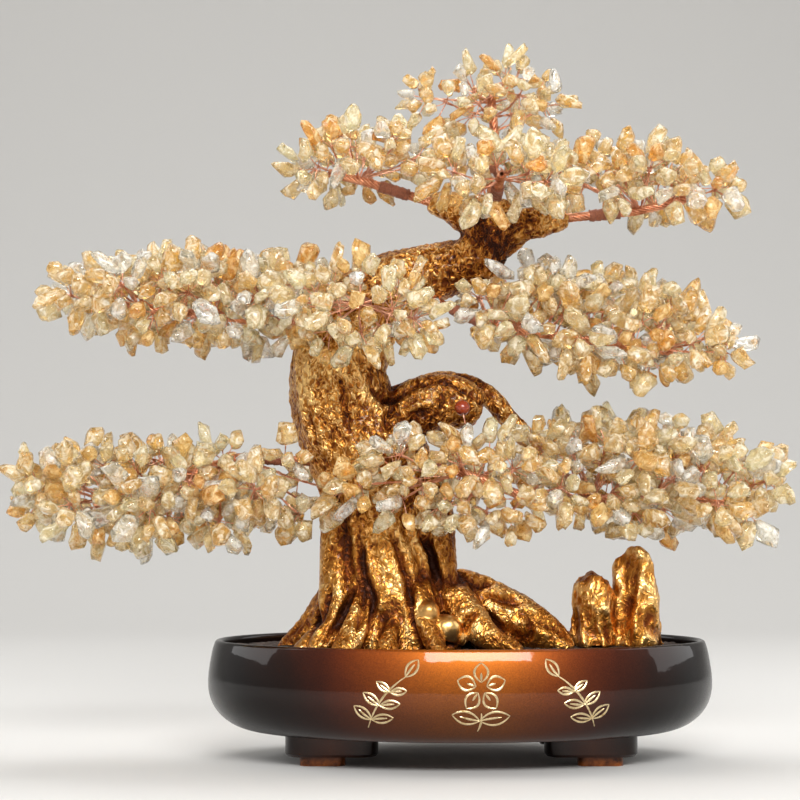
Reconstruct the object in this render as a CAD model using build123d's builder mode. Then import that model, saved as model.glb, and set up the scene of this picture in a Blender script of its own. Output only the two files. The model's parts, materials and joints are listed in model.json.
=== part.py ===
from build123d import *

import math
import os
import random

import numpy as np

# Gemstone tree ornament. An oval lacquered tray on four feet holds a cast trunk, and wire boughs
# plugged into the trunk carry sprays of tumbled quartz chips. Millimetres, +Z up, +X to the right
# and +Y away from the viewer. The origin is on the table, under the middle of the whole ornament.

SEED = 11
FIT_GAP = 0.3
GLUE_GAP = 0.1

# Tray: oval, widest at its belly, drawn in at the rim and rounded under to a flat bottom
TRAY_X = 27.0
TRAY_LENGTH = 227.0
TRAY_DEPTH = 150.0
TRAY_HEIGHT = 40.0
TRAY_BELLY_HEIGHT = 20.0
TRAY_RIM_INSET = 3.5
TRAY_UNDER_INSET_X = 22.0
TRAY_UNDER_INSET_Y = 14.0
TRAY_WALL = 4.5
TRAY_FLOOR = 5.5
RIM_ROUND = 1.6
UNDER_STEPS = 4
UPPER_STEPS = 2

# Feet: a rounded block with a smaller pad set towards the tray's end
FOOT_LENGTH = 41.0
FOOT_DEPTH = 20.0
FOOT_BLOCK_HEIGHT = 9.5
FOOT_CORNER = 9.0
FOOT_PAD_LENGTH = 20.0
FOOT_PAD_DEPTH = 14.0
FOOT_PAD_HEIGHT = 4.0
FOOT_PAD_CORNER = 4.0
FOOT_PAD_OUT = 4.0
FOOT_SPAN_X = 114.0
FOOT_SPAN_Y = 47.0
FOOT_EDGE = 1.2
FOOT_DOWEL_RADIUS = 3.0
FOOT_DOWEL_SINK = 3.6

# Filling: plaster ballast under a thin crust of soil
SOIL_SINK = 3.5
SOIL_CRUST = 6.0

# Trunk: places along each limb as shares of sway, depth, height and girth
TRUNK_SWAY = 45.0
TRUNK_HEIGHT = 200.0
TRUNK_GIRTH = 30.0
TRUNK_SHARES = (
    (-0.06, 0.00, -0.02, 1.24),
    (-0.11, 0.00, 0.09, 1.04),
    (-0.155, 0.00, 0.20, 0.95),
    (-0.19, 0.02, 0.31, 0.93),
    (-0.28, 0.02, 0.41, 0.90),
    (-0.48, 0.00, 0.50, 0.83),
    (-0.60, -0.04, 0.58, 0.77),
    (-0.60, -0.06, 0.65, 0.73),
    (-0.48, -0.04, 0.715, 0.69),
    (-0.28, 0.02, 0.78, 0.61),
    (-0.02, 0.06, 0.824, 0.52),
    (0.32, 0.06, 0.848, 0.45),
    (0.63, 0.02, 0.865, 0.43),
    (0.83, 0.00, 0.90, 0.45),
    (0.90, 0.00, 0.945, 0.46),
    (0.92, 0.00, 0.98, 0.42),
    (0.92, 0.00, 1.012, 0.30),
)
LEFT_FORK_SHARES = (
    (0.90, 0.00, 0.93, 0.42),
    (0.78, -0.01, 0.962, 0.36),
    (0.62, -0.03, 0.985, 0.28),
    (0.45, -0.05, 1.00, 0.20),
    (0.30, -0.06, 1.008, 0.13),
)
RIGHT_FORK_SHARES = (
    (0.92, 0.00, 0.925, 0.44),
    (1.08, 0.01, 0.948, 0.37),
    (1.28, 0.03, 0.958, 0.29),
    (1.50, 0.03, 0.966, 0.21),
    (1.70, 0.03, 0.974, 0.13),
)
BURL_SHARES = (
    (-0.36, -0.02, 0.465, 0.40),
    (-0.02, -0.06, 0.515, 0.44),
    (0.28, -0.08, 0.545, 0.45),
    (0.54, -0.07, 0.55, 0.41),
    (0.78, -0.04, 0.525, 0.28),
)
ROLL_SHARES = (
    (-0.10, 0.00, 0.57, 0.15),
    (0.26, 0.00, 0.595, 0.17),
    (0.55, 0.02, 0.598, 0.18),
    (0.83, 0.05, 0.575, 0.18),
    (1.06, 0.09, 0.53, 0.17),
    (1.26, 0.12, 0.478, 0.16),
    (1.40, 0.14, 0.435, 0.15),
)
COLUMN_SHARES = (
    (0.28, -0.20, 0.43, 0.20),
    (0.38, -0.28, 0.31, 0.23),
    (0.41, -0.31, 0.20, 0.24),
    (0.54, -0.33, 0.10, 0.24),
    (0.86, -0.36, 0.03, 0.20),
    (1.20, -0.40, -0.03, 0.14),
)
PILLAR_SHARES = (
    (-0.42, -0.10, 0.42, 0.18),
    (-0.58, -0.28, 0.31, 0.26),
    (-0.58, -0.34, 0.18, 0.29),
    (-0.62, -0.42, 0.08, 0.28),
    (-0.74, -0.56, 0.01, 0.24),
    (-0.82, -0.66, -0.04, 0.18),
)
MOUND_SHARES = (
    (0.40, -0.05, 0.12, 0.40),
    (0.85, -0.08, 0.095, 0.41),
    (1.20, -0.14, 0.055, 0.38),
    (1.48, -0.22, 0.022, 0.28),
    (1.66, -0.32, -0.01, 0.16),
)

# Roots: bearing in degrees, then reach, start height and girth as shares
ROOT_REACH = 60.0
ROOT_RISE = 46.0
ROOT_GIRTH = 9.0
ROOT_TABLE_SHARES = (
    (182, 0.90, 1.00, 1.00),
    (208, 0.86, 0.80, 0.90),
    (236, 0.80, 0.90, 1.00),
    (262, 0.74, 0.70, 0.85),
    (292, 0.80, 0.85, 1.00),
    (326, 1.05, 0.75, 0.95),
    (2, 1.00, 0.60, 1.10),
    (38, 1.00, 0.80, 0.95),
    (72, 0.84, 0.90, 1.00),
    (105, 0.80, 0.70, 0.90),
    (140, 0.86, 0.95, 1.00),
)
ROOT_PATH_SHARES = (
    (0.12, 1.00, 1.00),
    (0.46, 0.62, 1.00),
    (0.72, 0.20, 0.80),
    (0.90, 0.02, 0.60),
    (1.04, -0.10, 0.34),
)
KNOT_RADIUS = 5.4
KNOT_SHARES = (
    (0.52, -0.58, 0.022, 1.00),
    (0.30, -0.63, 0.080, 0.76),
)
CORE_ROD_RADIUS = 4.0
CORE_ROD_LENGTH = 74.0
CORE_ROD_SINK = 26.0

# Rock: two leaning peaks, cut flat under and bevelled all round
ROCK_PLACE_SHARE = 0.315
ROCK_BACK = 4.0
ROCK_HIGH = 46.0
ROCK_LOW = 35.0
ROCK_LENGTH = 23.0
ROCK_DEPTH = 27.0
ROCK_STEP = 18.0
ROCK_SIDES = 7
ROCK_TOPS = 4
ROCK_LEAN_SHARES = (0.07, 0.18, 0.12, 0.10, 0.05, 0.17, 0.14)
ROCK_TOP_SHARE = 0.90

# Quartz chips: a few cut shapes, each a block trimmed by facets round an oval
CHIP_LENGTH = 10.6
CHIP_WIDTH = 7.8
CHIP_THICKNESS = 5.5
CHIP_FORM_SHARES = (
    (0.95, 0.95, 1.00),
    (1.28, 0.85, 0.85),
    (0.85, 1.05, 1.10),
    (1.40, 0.75, 0.90),
    (1.05, 1.00, 0.75),
    (0.90, 0.80, 1.05),
    (1.18, 1.10, 0.80),
    (1.50, 0.70, 0.80),
    (1.00, 1.15, 0.90),
    (1.30, 0.90, 0.90),
    (1.20, 0.95, 1.05),
    (1.10, 0.85, 0.95),
)
CHIP_SHAPES = len(CHIP_FORM_SHARES)
CHIP_FACETS = 13
CHIP_UNEVEN_SHARE = 0.22
CHIP_SIZE_LOW_SHARE = 0.78
CHIP_SIZE_HIGH_SHARE = 1.12
CHIP_TRIM_LOW_SHARE = 0.82
CHIP_SWING_SHARE = 0.5
CHIP_GAP = 0.25

# Wire: stem bundles, twigs, the knot where a spray opens, and the stalk of each chip
STEM_RADIUS = 2.1
KNUCKLE_RADIUS = 2.5
STEM_BEND = 12.0
STEM_REACH_SHARE = 0.55
STEM_DROP_SHARE = 0.25
STEM_FRONT_SHARE = 1.45
SLEEVE_WALL = 0.8
SLEEVE_LENGTH = 14.0
PEG_LENGTH = 13.0
PEG_PROUD = 2.2
TWIG_RADIUS = 0.65
BUD_RADIUS = 1.15
STALK_RADIUS = 0.33
STALK_LENGTH = 4.2
STALK_SPREAD = 1.8
WIRE_SIDES = 6
STALK_SIZES = 3
TWIG_RAKE_SHARE = 0.45
BUD_TRIES = 70
BUD_INSET_SHARE = 0.6
SPRAY_CHIPS = 12
SPRAY_TRIES = 13
SPRAY_SPACING = 9.5
STEM_CLEAR = 6.5
TRUNK_CLEAR = 1.6

# Red bead in front of the burl, on a wire of its own
BEAD_RADIUS = 3.4
BEAD_WIRE_RADIUS = 0.45
BEAD_SHARES = (0.61, -0.62, 0.535)

# Pads: middle and half sizes of each bough's cloud of chips, and how far any chip may reach to a side
# and to the front or back
TREE_REACH = 178.5
TREE_DEPTH = 77.0
PAD_REACH = 180.0
PAD_RISE = 200.0
PAD_LENGTH = 90.0
PAD_DEPTH = 48.0
PAD_THICKNESS = 28.0


def unit(vector):
    """The direction of a vector."""
    vector = np.asarray(vector, dtype=float)
    return vector / np.linalg.norm(vector)


SOIL_TOP = FOOT_PAD_HEIGHT + FOOT_BLOCK_HEIGHT + TRAY_HEIGHT - SOIL_SINK
TRAY_BASE = FOOT_PAD_HEIGHT + FOOT_BLOCK_HEIGHT
UP = np.array((0.0, 0.0, 1.0))


def limb_places(shares):
    """The middle and radius of each place along a limb."""
    places = []
    for sway, depth, height, girth in shares:
        middle = (TRUNK_SWAY * sway, TRUNK_SWAY * depth, SOIL_TOP + TRUNK_HEIGHT * height)
        places.append((np.array(middle), TRUNK_GIRTH * girth))
    return places


def root_places(bearing, reach, rise, girth):
    """The middle and radius of each place along one root."""
    angle = math.radians(bearing)
    outward = np.array((math.cos(angle), math.sin(angle), 0.0))
    places = []
    for out_share, up_share, girth_share in ROOT_PATH_SHARES:
        middle = outward * ROOT_REACH * reach * out_share
        middle = middle + UP * (SOIL_TOP + ROOT_RISE * rise * up_share)
        places.append((middle, ROOT_GIRTH * girth * girth_share))
    return places


def limb(places):
    """A round limb through its places, capped square at both ends."""
    last = len(places) - 1
    with BuildPart() as made:
        for index, (middle, radius) in enumerate(places):
            ahead = places[min(index + 1, last)][0]
            behind = places[max(index - 1, 0)][0]
            along = unit(ahead - behind)
            side = unit(np.cross(along, UP + np.array((0.0, 1.0, 0.0)) * abs(along[2])))
            with BuildSketch(Plane(origin=tuple(middle), x_dir=tuple(side), z_dir=tuple(along))):
                Circle(radius)
        loft()
    return made.part


def tray_axes(height, inset):
    """Half length and half depth of the tray's oval at a height above its bottom."""
    half_x = TRAY_LENGTH / 2
    half_y = TRAY_DEPTH / 2
    if height < TRAY_BELLY_HEIGHT:
        drop = (TRAY_BELLY_HEIGHT - height) / TRAY_BELLY_HEIGHT
        swell = 1 - math.sqrt(max(1 - drop * drop, 0))
        half_x -= TRAY_UNDER_INSET_X * swell
        half_y -= TRAY_UNDER_INSET_Y * swell
    else:
        rise = (height - TRAY_BELLY_HEIGHT) / (TRAY_HEIGHT - TRAY_BELLY_HEIGHT)
        half_x -= TRAY_RIM_INSET * rise * rise
        half_y -= TRAY_RIM_INSET * rise * rise
    return half_x - inset, half_y - inset


def oval_body(low, high, inset):
    """A solid that follows the tray's outline, inset, between two heights above its bottom."""
    heights = [low]
    if low < TRAY_BELLY_HEIGHT:
        start = math.asin((TRAY_BELLY_HEIGHT - low) / TRAY_BELLY_HEIGHT)
        for step in range(1, UNDER_STEPS):
            angle = start * (1 - step / UNDER_STEPS)
            heights.append(TRAY_BELLY_HEIGHT * (1 - math.sin(angle)))
    heights = [height for height in heights if height < high]
    for step in range(UPPER_STEPS + 1):
        bottom = max(low, min(TRAY_BELLY_HEIGHT, high))
        level = bottom + (high - bottom) * step / UPPER_STEPS
        if level > heights[-1]:
            heights.append(level)
    with BuildPart() as made:
        for height in heights:
            half_x, half_y = tray_axes(height, inset)
            with BuildSketch(Plane(origin=(TRAY_X, 0, TRAY_BASE + height))):
                Ellipse(half_x, half_y)
        loft()
    return made.part


# Places of the four feet, named by the side that they stand on
FEET = {
    "front_left": (-1, -1),
    "front_right": (1, -1),
    "rear_left": (-1, 1),
    "rear_right": (1, 1),
}


def foot_middle(side_x, side_y):
    """The middle of a foot's block on the table."""
    return TRAY_X + side_x * FOOT_SPAN_X / 2, side_y * FOOT_SPAN_Y / 2


parts = {}

# Tray, with its pocket and the four blind dowel holes under it
with BuildPart() as tray:
    add(oval_body(0, TRAY_HEIGHT, 0))
    add(oval_body(TRAY_FLOOR, TRAY_HEIGHT + RIM_ROUND, TRAY_WALL), mode=Mode.SUBTRACT)
    fillet(tray.edges().filter_by(GeomType.PLANE, reverse=True).group_by(Axis.Z)[-1], RIM_ROUND)
    for side_x, side_y in FEET.values():
        middle_x, middle_y = foot_middle(side_x, side_y)
        with BuildSketch(Plane(origin=(middle_x, middle_y, TRAY_BASE))):
            Circle(FOOT_DOWEL_RADIUS + GLUE_GAP)
        extrude(amount=FOOT_DOWEL_SINK + GLUE_GAP, mode=Mode.SUBTRACT)
parts["tray"] = tray.part

# Feet and their dowels
dowels = []
for name, (side_x, side_y) in FEET.items():
    middle_x, middle_y = foot_middle(side_x, side_y)
    with BuildPart() as foot:
        with BuildSketch(Plane(origin=(middle_x, middle_y, FOOT_PAD_HEIGHT))):
            RectangleRounded(FOOT_LENGTH, FOOT_DEPTH, FOOT_CORNER)
        extrude(amount=FOOT_BLOCK_HEIGHT)
        chamfer(foot.faces().sort_by(Axis.Z)[0].edges(), FOOT_EDGE)
        with BuildSketch(Plane(origin=(middle_x + side_x * FOOT_PAD_OUT, middle_y, 0))):
            RectangleRounded(FOOT_PAD_LENGTH, FOOT_PAD_DEPTH, FOOT_PAD_CORNER)
        extrude(amount=FOOT_PAD_HEIGHT)
        with BuildSketch(Plane(origin=(middle_x, middle_y, TRAY_BASE))):
            Circle(FOOT_DOWEL_RADIUS + GLUE_GAP)
        extrude(amount=-FOOT_DOWEL_SINK - GLUE_GAP, mode=Mode.SUBTRACT)
    parts["foot_" + name] = foot.part
    with BuildPart() as dowel:
        with BuildSketch(Plane(origin=(middle_x, middle_y, TRAY_BASE - FOOT_DOWEL_SINK))):
            Circle(FOOT_DOWEL_RADIUS)
        extrude(amount=FOOT_DOWEL_SINK * 2)
    dowels.append(dowel.part)
parts["foot_dowels"] = Compound(children=dowels)

# Ballast and soil, with the hole that the trunk's core rod stands in
SOIL_LEVEL = TRAY_HEIGHT - SOIL_SINK
with BuildPart() as ballast:
    add(oval_body(TRAY_FLOOR, SOIL_LEVEL - SOIL_CRUST, TRAY_WALL + FIT_GAP))
    with BuildSketch(Plane(origin=(0, 0, SOIL_TOP))):
        Circle(CORE_ROD_RADIUS + GLUE_GAP)
    extrude(amount=-CORE_ROD_SINK - GLUE_GAP, mode=Mode.SUBTRACT)
parts["plaster_ballast"] = ballast.part
with BuildPart() as soil:
    add(oval_body(SOIL_LEVEL - SOIL_CRUST, SOIL_LEVEL, TRAY_WALL + FIT_GAP))
    with BuildSketch(Plane(origin=(0, 0, SOIL_TOP))):
        Circle(CORE_ROD_RADIUS + GLUE_GAP)
    extrude(amount=-CORE_ROD_SINK, mode=Mode.SUBTRACT)
parts["soil_bed"] = soil.part
with BuildPart() as core_rod:
    with BuildSketch(Plane(origin=(0, 0, SOIL_TOP - CORE_ROD_SINK))):
        Circle(CORE_ROD_RADIUS)
    extrude(amount=CORE_ROD_LENGTH)
parts["core_rod"] = core_rod.part

# Rock: two peaks, each a block trimmed by leaning sides and by a few flats at its top
peaks = []
for turn, height, shift in ((0, ROCK_LOW, -1), (1, ROCK_HIGH, 1)):
    middle_x = TRAY_X + TRAY_LENGTH * ROCK_PLACE_SHARE + shift * ROCK_STEP / 2
    middle = Vector(middle_x, ROCK_BACK, SOIL_TOP)
    with BuildPart() as peak:
        with BuildSketch(Plane(origin=middle)):
            Rectangle(ROCK_LENGTH * 2, ROCK_DEPTH * 2)
        extrude(amount=height)
        for index in range(ROCK_SIDES):
            bearing = 2 * math.pi * (index + turn / 2) / ROCK_SIDES
            slope = ROCK_LEAN_SHARES[(index + turn) % ROCK_SIDES]
            lean = Vector(math.cos(bearing), math.sin(bearing), math.tan(slope)).normalized()
            spread = math.hypot(ROCK_LENGTH / 2 * math.cos(bearing), ROCK_DEPTH / 2 * math.sin(bearing))
            side = middle + Vector(math.cos(bearing), math.sin(bearing), 0) * spread
            split(bisect_by=Plane(origin=side, z_dir=lean), keep=Keep.BOTTOM)
        for index in range(ROCK_TOPS):
            bearing = 2 * math.pi * (index + turn / 3) / ROCK_TOPS
            lean = Vector(math.cos(bearing), math.sin(bearing), 1 + index / ROCK_TOPS).normalized()
            crest = middle + Vector(0, 0, height * (ROCK_TOP_SHARE + index / ROCK_TOPS / ROCK_TOPS))
            split(bisect_by=Plane(origin=crest, z_dir=lean), keep=Keep.BOTTOM)
    peaks.append(peak.part)
with BuildPart() as rock:
    add(peaks)
parts["rock"] = rock.part

# Limbs that stand in for the trunk's outline when chips are placed round it
LIMBS = {
    "trunk": limb_places(TRUNK_SHARES),
    "left_fork": limb_places(LEFT_FORK_SHARES),
    "right_fork": limb_places(RIGHT_FORK_SHARES),
    "burl": limb_places(BURL_SHARES),
    "roll": limb_places(ROLL_SHARES),
    "column": limb_places(COLUMN_SHARES),
    "pillar": limb_places(PILLAR_SHARES),
    "mound": limb_places(MOUND_SHARES),
}
for index, row in enumerate(ROOT_TABLE_SHARES):
    LIMBS["root_" + str(index)] = root_places(*row)

# Boughs: the limb and the place on it that each one is plugged into, the way it leaves, the middle of
# its pad, the half sizes of the pad, its slope and bank, its number of sprays and its swing down and up
BOUGHS = {
    "crown_left": {
        "limb": "left_fork", "place": 4, "tip": True, "stem": "side", "leave": (-1.0, -0.10, 0.30),
        "pad_shares": (-0.03, -0.02, 1.112), "half_shares": (0.55, 0.80, 0.68),
        "slope": -6, "bank": 0, "sprays": 26, "swing": (-6, 10),
    },
    "crown_right": {
        "limb": "right_fork", "place": 4, "tip": True, "stem": "side", "leave": (1.0, 0.05, 0.10),
        "pad_shares": (0.56, 0.02, 1.062), "half_shares": (0.62, 0.80, 0.64),
        "slope": 9, "bank": 0, "sprays": 26, "swing": (-6, 10),
    },
    "crown_top": {
        "limb": "trunk", "place": 16, "tip": True, "stem": "upright", "leave": (0.06, 0.05, 1.0),
        "pad_shares": (0.230, 0.06, 1.245), "half_shares": (0.46, 0.60, 0.80),
        "slope": 0, "bank": 0, "sprays": 12, "swing": (-7, 7),
    },
    "crown_front": {
        "limb": "trunk", "place": 15, "tip": False, "stem": "straight", "leave": (0.05, -1.0, 0.22),
        "pad_shares": (0.26, -0.80, 1.035), "half_shares": (0.40, 0.50, 0.64),
        "slope": 0, "bank": 0, "sprays": 10, "swing": (-5, 8),
    },
    "mid_left": {
        "limb": "trunk", "place": 8, "tip": False, "stem": "side", "leave": (-1.0, -0.10, 0.10),
        "pad_shares": (-0.44, -0.04, 0.790), "half_shares": (0.92, 0.96, 0.84),
        "slope": 3, "bank": 5, "sprays": 42, "swing": (-5, 8),
    },
    "mid_right": {
        "limb": "trunk", "place": 10, "tip": False, "stem": "side", "leave": (0.80, -0.30, -0.40),
        "pad_shares": (0.47, -0.02, 0.738), "half_shares": (0.83, 0.94, 0.92),
        "slope": 11, "bank": 12, "sprays": 40, "swing": (-5, 8),
    },
    "mid_front": {
        "limb": "trunk", "place": 9, "tip": False, "stem": "straight", "leave": (-0.10, -1.0, -0.10),
        "pad_shares": (-0.08, -0.94, 0.745), "half_shares": (0.48, 0.58, 0.80),
        "slope": 2, "bank": 0, "sprays": 14, "swing": (-5, 8),
    },
    "low_left": {
        "limb": "trunk", "place": 4, "tip": False, "stem": "side", "leave": (-1.0, -0.12, 0.06),
        "pad_shares": (-0.46, -0.26, 0.355), "half_shares": (1.09, 1.00, 0.94),
        "slope": -1, "bank": 4, "sprays": 50, "swing": (-5, 8),
    },
    "low_right": {
        "limb": "roll", "place": 6, "tip": True, "stem": "side", "leave": (0.70, 0.10, -0.60),
        "pad_shares": (0.612, 0.06, 0.392), "half_shares": (0.80, 1.00, 1.04),
        "slope": 7, "bank": 8, "sprays": 44, "swing": (-4, 8),
    },
    "low_front": {
        "limb": "trunk", "place": 4, "tip": False, "stem": "side", "leave": (0.62, -0.80, -0.04),
        "pad_shares": (0.15, -0.88, 0.370), "half_shares": (0.66, 0.54, 0.92),
        "slope": 4, "bank": 0, "sprays": 22, "swing": (-5, 8),
    },
}

for name, bough in BOUGHS.items():
    places = LIMBS[bough["limb"]]
    middle, radius = places[bough["place"]]
    leave = unit(bough["leave"])
    surface = 0.0
    if not bough["tip"]:
        run = unit(places[bough["place"] + 1][0] - places[bough["place"] - 1][0])
        surface = radius / np.linalg.norm(np.cross(run, leave))
    bough["leave"] = leave
    bough["mouth"] = middle + leave * surface
    bough["pivot"] = bough["mouth"] + leave * (PEG_PROUD + FIT_GAP + KNUCKLE_RADIUS)
    level = leave - UP * leave[2]
    bough["axis"] = np.array((0.0, 1.0, 0.0)) if bough["stem"] == "upright" else unit(np.cross(level, UP))
    x_share, y_share, z_share = bough["pad_shares"]
    bough["middle"] = np.array((PAD_REACH * x_share, PAD_DEPTH * y_share, SOIL_TOP + PAD_RISE * z_share))
    length, depth, thick = bough["half_shares"]
    bough["half"] = np.array((PAD_LENGTH * length, PAD_DEPTH * depth, PAD_THICKNESS * thick))
    print(name, bough["pivot"].round(2).tolist(), bough["axis"].round(4).tolist(), bough["swing"])

# Trunk: limbs, roots and knots in one casting, cut flat at the soil and drilled for rod and pegs
with BuildPart() as trunk:
    add(limb(LIMBS["trunk"]))
    add([limb(places) for name, places in LIMBS.items() if name != "trunk"])
    for sway, depth, height, girth in KNOT_SHARES:
        with Locations((TRUNK_SWAY * sway, TRUNK_SWAY * depth, SOIL_TOP + TRUNK_HEIGHT * height)):
            Sphere(KNOT_RADIUS * girth)
    split(bisect_by=Plane(origin=(0, 0, SOIL_TOP)), keep=Keep.TOP)
    with BuildSketch(Plane(origin=(0, 0, SOIL_TOP))):
        Circle(CORE_ROD_RADIUS + GLUE_GAP)
    extrude(amount=CORE_ROD_LENGTH - CORE_ROD_SINK + GLUE_GAP, mode=Mode.SUBTRACT)
    for bough in BOUGHS.values():
        with BuildSketch(Plane(origin=tuple(bough["mouth"] + bough["leave"] * PEG_PROUD),
                               z_dir=tuple(bough["leave"]))):
            Circle(STEM_RADIUS + GLUE_GAP)
        extrude(amount=-PEG_LENGTH - PEG_PROUD, mode=Mode.SUBTRACT)
parts["trunk"] = trunk.part



class Block:
    """A convex body in the packing, kept at rest and at both ends of its bough's swing."""

    def __init__(self, bough, corners, axes):
        self.bough = bough
        middle = corners.mean(axis=0)
        self.reach = np.linalg.norm(corners - middle, axis=1).max()
        self.corners = []
        self.axes = []
        self.middles = []
        for turn in SWINGS[bough]:
            pivot = BOUGHS[bough]["pivot"]
            self.corners.append((corners - pivot) @ turn.T + pivot)
            self.axes.append(axes @ turn.T)
            self.middles.append((middle - pivot) @ turn.T + pivot)


def turned(axis, degrees):
    """The turn about an axis, as a matrix."""
    angle = math.radians(degrees)
    x, y, z = axis
    cross = np.array(((0, -z, y), (z, 0, -x), (-y, x, 0)))
    return np.eye(3) + math.sin(angle) * cross + (1 - math.cos(angle)) * cross @ cross


SWINGS = {}
for name, bough in BOUGHS.items():
    low, high = bough["swing"]
    SWINGS[name] = [turned(bough["axis"], degrees) for degrees in (0, low, high)]

# Pairs of poses that two boughs are kept clear in: both at rest, one swung, or both swung alike
POSE_PAIRS = ((0, 0), (1, 0), (2, 0), (0, 1), (0, 2), (1, 1), (2, 2))
blocks = []
block_middles = [np.zeros((0, 3)) for pose in range(3)]
block_reaches = np.zeros(0)
block_boughs = np.zeros(0, dtype=int)
BOUGH_NUMBER = {name: number for number, name in enumerate(BOUGHS)}


def keep(new_blocks):
    """Take blocks into the packing."""
    global block_reaches, block_boughs
    blocks.extend(new_blocks)
    for pose in range(3):
        rows = np.array([block.middles[pose] for block in new_blocks])
        block_middles[pose] = np.vstack((block_middles[pose], rows))
    block_reaches = np.concatenate((block_reaches, [block.reach for block in new_blocks]))
    numbers = [BOUGH_NUMBER[block.bough] for block in new_blocks]
    block_boughs = np.concatenate((block_boughs, numbers))


def apart(corners, axes, other_corners, other_axes, between, gap):
    """Whether some direction keeps two convex bodies a gap apart."""
    tests = np.vstack((axes, other_axes, between))
    first = corners @ tests.T
    second = other_corners @ tests.T
    space = np.maximum(second.min(axis=0) - first.max(axis=0), first.min(axis=0) - second.max(axis=0))
    return bool(space.max() > gap)


def fits(block, gap, skip=()):
    """Whether a block clears every block that it could meet in the poses kept clear."""
    number = BOUGH_NUMBER[block.bough]
    for pose, other_pose in POSE_PAIRS:
        offsets = block_middles[other_pose] - block.middles[pose]
        spans = np.linalg.norm(offsets, axis=1)
        near = spans < block_reaches + block.reach + gap
        if pose or other_pose:
            near &= block_boughs != number
        for index in np.flatnonzero(near):
            if index in skip:
                continue
            other = blocks[index]
            between = offsets[index] / max(spans[index], STALK_RADIUS)
            if not apart(block.corners[pose], block.axes[pose], other.corners[other_pose],
                         other.axes[other_pose], between, gap):
                return False
    return True


# Still bodies that no chip may meet in any pose: limbs as chains of round rods, then the rock
rods = []
for places in LIMBS.values():
    for (start, start_radius), (end, end_radius) in zip(places, places[1:]):
        rods.append((start, end, max(start_radius, end_radius)))
rock_x = TRAY_X + TRAY_LENGTH * ROCK_PLACE_SHARE
for height, shift in ((ROCK_LOW, -1), (ROCK_HIGH, 1)):
    foot_point = np.array((rock_x + shift * ROCK_STEP / 2, ROCK_BACK, SOIL_TOP))
    rods.append((foot_point, foot_point + UP * (height - ROCK_LENGTH / 2), ROCK_DEPTH / 2))
ROD_STARTS = np.array([start for start, end, radius in rods])
ROD_RUNS = np.array([end - start for start, end, radius in rods])
ROD_RADII = np.array([radius for start, end, radius in rods])


def rod_space(points):
    """The least space between any of the points and any rod."""
    offsets = points[:, None, :] - ROD_STARTS[None, :, :]
    shares = (offsets * ROD_RUNS).sum(axis=2) / (ROD_RUNS * ROD_RUNS).sum(axis=1)
    shares = np.clip(shares, 0, 1)
    nearest = offsets - shares[:, :, None] * ROD_RUNS
    return (np.linalg.norm(nearest, axis=2) - ROD_RADII).min()


def clears_trunk(block):
    """Whether a block keeps off the trunk, the rock and the tray in every pose, and within reach."""
    across, ahead, above = np.abs(block.corners[0]).max(axis=0)
    if across > TREE_REACH or ahead > TREE_DEPTH:
        return False
    for corners in block.corners:
        if rod_space(corners) < TRUNK_CLEAR or corners[:, 2].min() < SOIL_TOP + SOIL_CRUST:
            return False
    return True


def prism_block(bough, start, end, radius):
    """The block of a straight wire."""
    along = unit(end - start)
    side = unit(np.cross(along, (0.3, 0.5, 0.8)))
    other = np.cross(along, side)
    ring = []
    normals = [along]
    for step in range(WIRE_SIDES):
        angle = 2 * math.pi * step / WIRE_SIDES
        ring.append(side * math.cos(angle) + other * math.sin(angle))
        half = angle + math.pi / WIRE_SIDES
        normals.append(side * math.cos(half) + other * math.sin(half))
    ring = np.array(ring) * radius / math.cos(math.pi / WIRE_SIDES)
    return Block(bough, np.vstack((ring + start, ring + end)), np.array(normals))


def wire(start, end, radius):
    """A straight wire, drawn as a flat-sided prism."""
    along = unit(end - start)
    side = unit(np.cross(along, (0.3, 0.5, 0.8)))
    with BuildPart() as made:
        with BuildSketch(Plane(origin=tuple(start), x_dir=tuple(side), z_dir=tuple(along))):
            RegularPolygon(radius, WIRE_SIDES)
        extrude(amount=float(np.linalg.norm(end - start)))
    return made.part


def facet_directions(count, turn):
    """Directions spread evenly round a ball."""
    directions = []
    for index in range(count):
        height = 1 - (2 * index + 1) / count
        bearing = math.pi * (3 - math.sqrt(5)) * index + turn
        level = math.sqrt(1 - height * height)
        directions.append((level * math.cos(bearing), level * math.sin(bearing), height))
    return np.array(directions)


# Chips: cut shapes to copy, with the corners and facet directions that the packing uses
chips = []
dice = random.Random(SEED)
for shape in range(CHIP_SHAPES):
    size = CHIP_SIZE_LOW_SHARE + (CHIP_SIZE_HIGH_SHARE - CHIP_SIZE_LOW_SHARE) * shape / (CHIP_SHAPES - 1)
    half = np.array((CHIP_LENGTH, CHIP_WIDTH, CHIP_THICKNESS)) * CHIP_FORM_SHARES[shape] * size / 2
    with BuildPart() as chip:
        Box(CHIP_LENGTH * 2, CHIP_LENGTH * 2, CHIP_LENGTH * 2)
        for direction in facet_directions(CHIP_FACETS, shape):
            direction = unit(direction + [dice.gauss(0, CHIP_UNEVEN_SHARE) for axis in range(3)])
            away = np.linalg.norm(half * direction) * dice.uniform(CHIP_TRIM_LOW_SHARE, 1)
            split(bisect_by=Plane(origin=tuple(direction * away), z_dir=tuple(direction)), keep=Keep.BOTTOM)
    corners = np.array([tuple(vertex) for vertex in chip.part.vertices()])
    axes = np.array([tuple(face.normal_at()) for face in chip.part.faces()])
    middles = np.array([tuple(face.center()) for face in chip.part.faces()])
    chips.append((chip.part, corners, axes, (axes * middles).sum(axis=1)))
with BuildPart() as bud:
    Box(BUD_RADIUS * 2, BUD_RADIUS * 2, BUD_RADIUS * 2)
    for direction in facet_directions(CHIP_FACETS, 0):
        split(bisect_by=Plane(origin=tuple(direction * BUD_RADIUS), z_dir=tuple(direction)), keep=Keep.BOTTOM)


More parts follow.
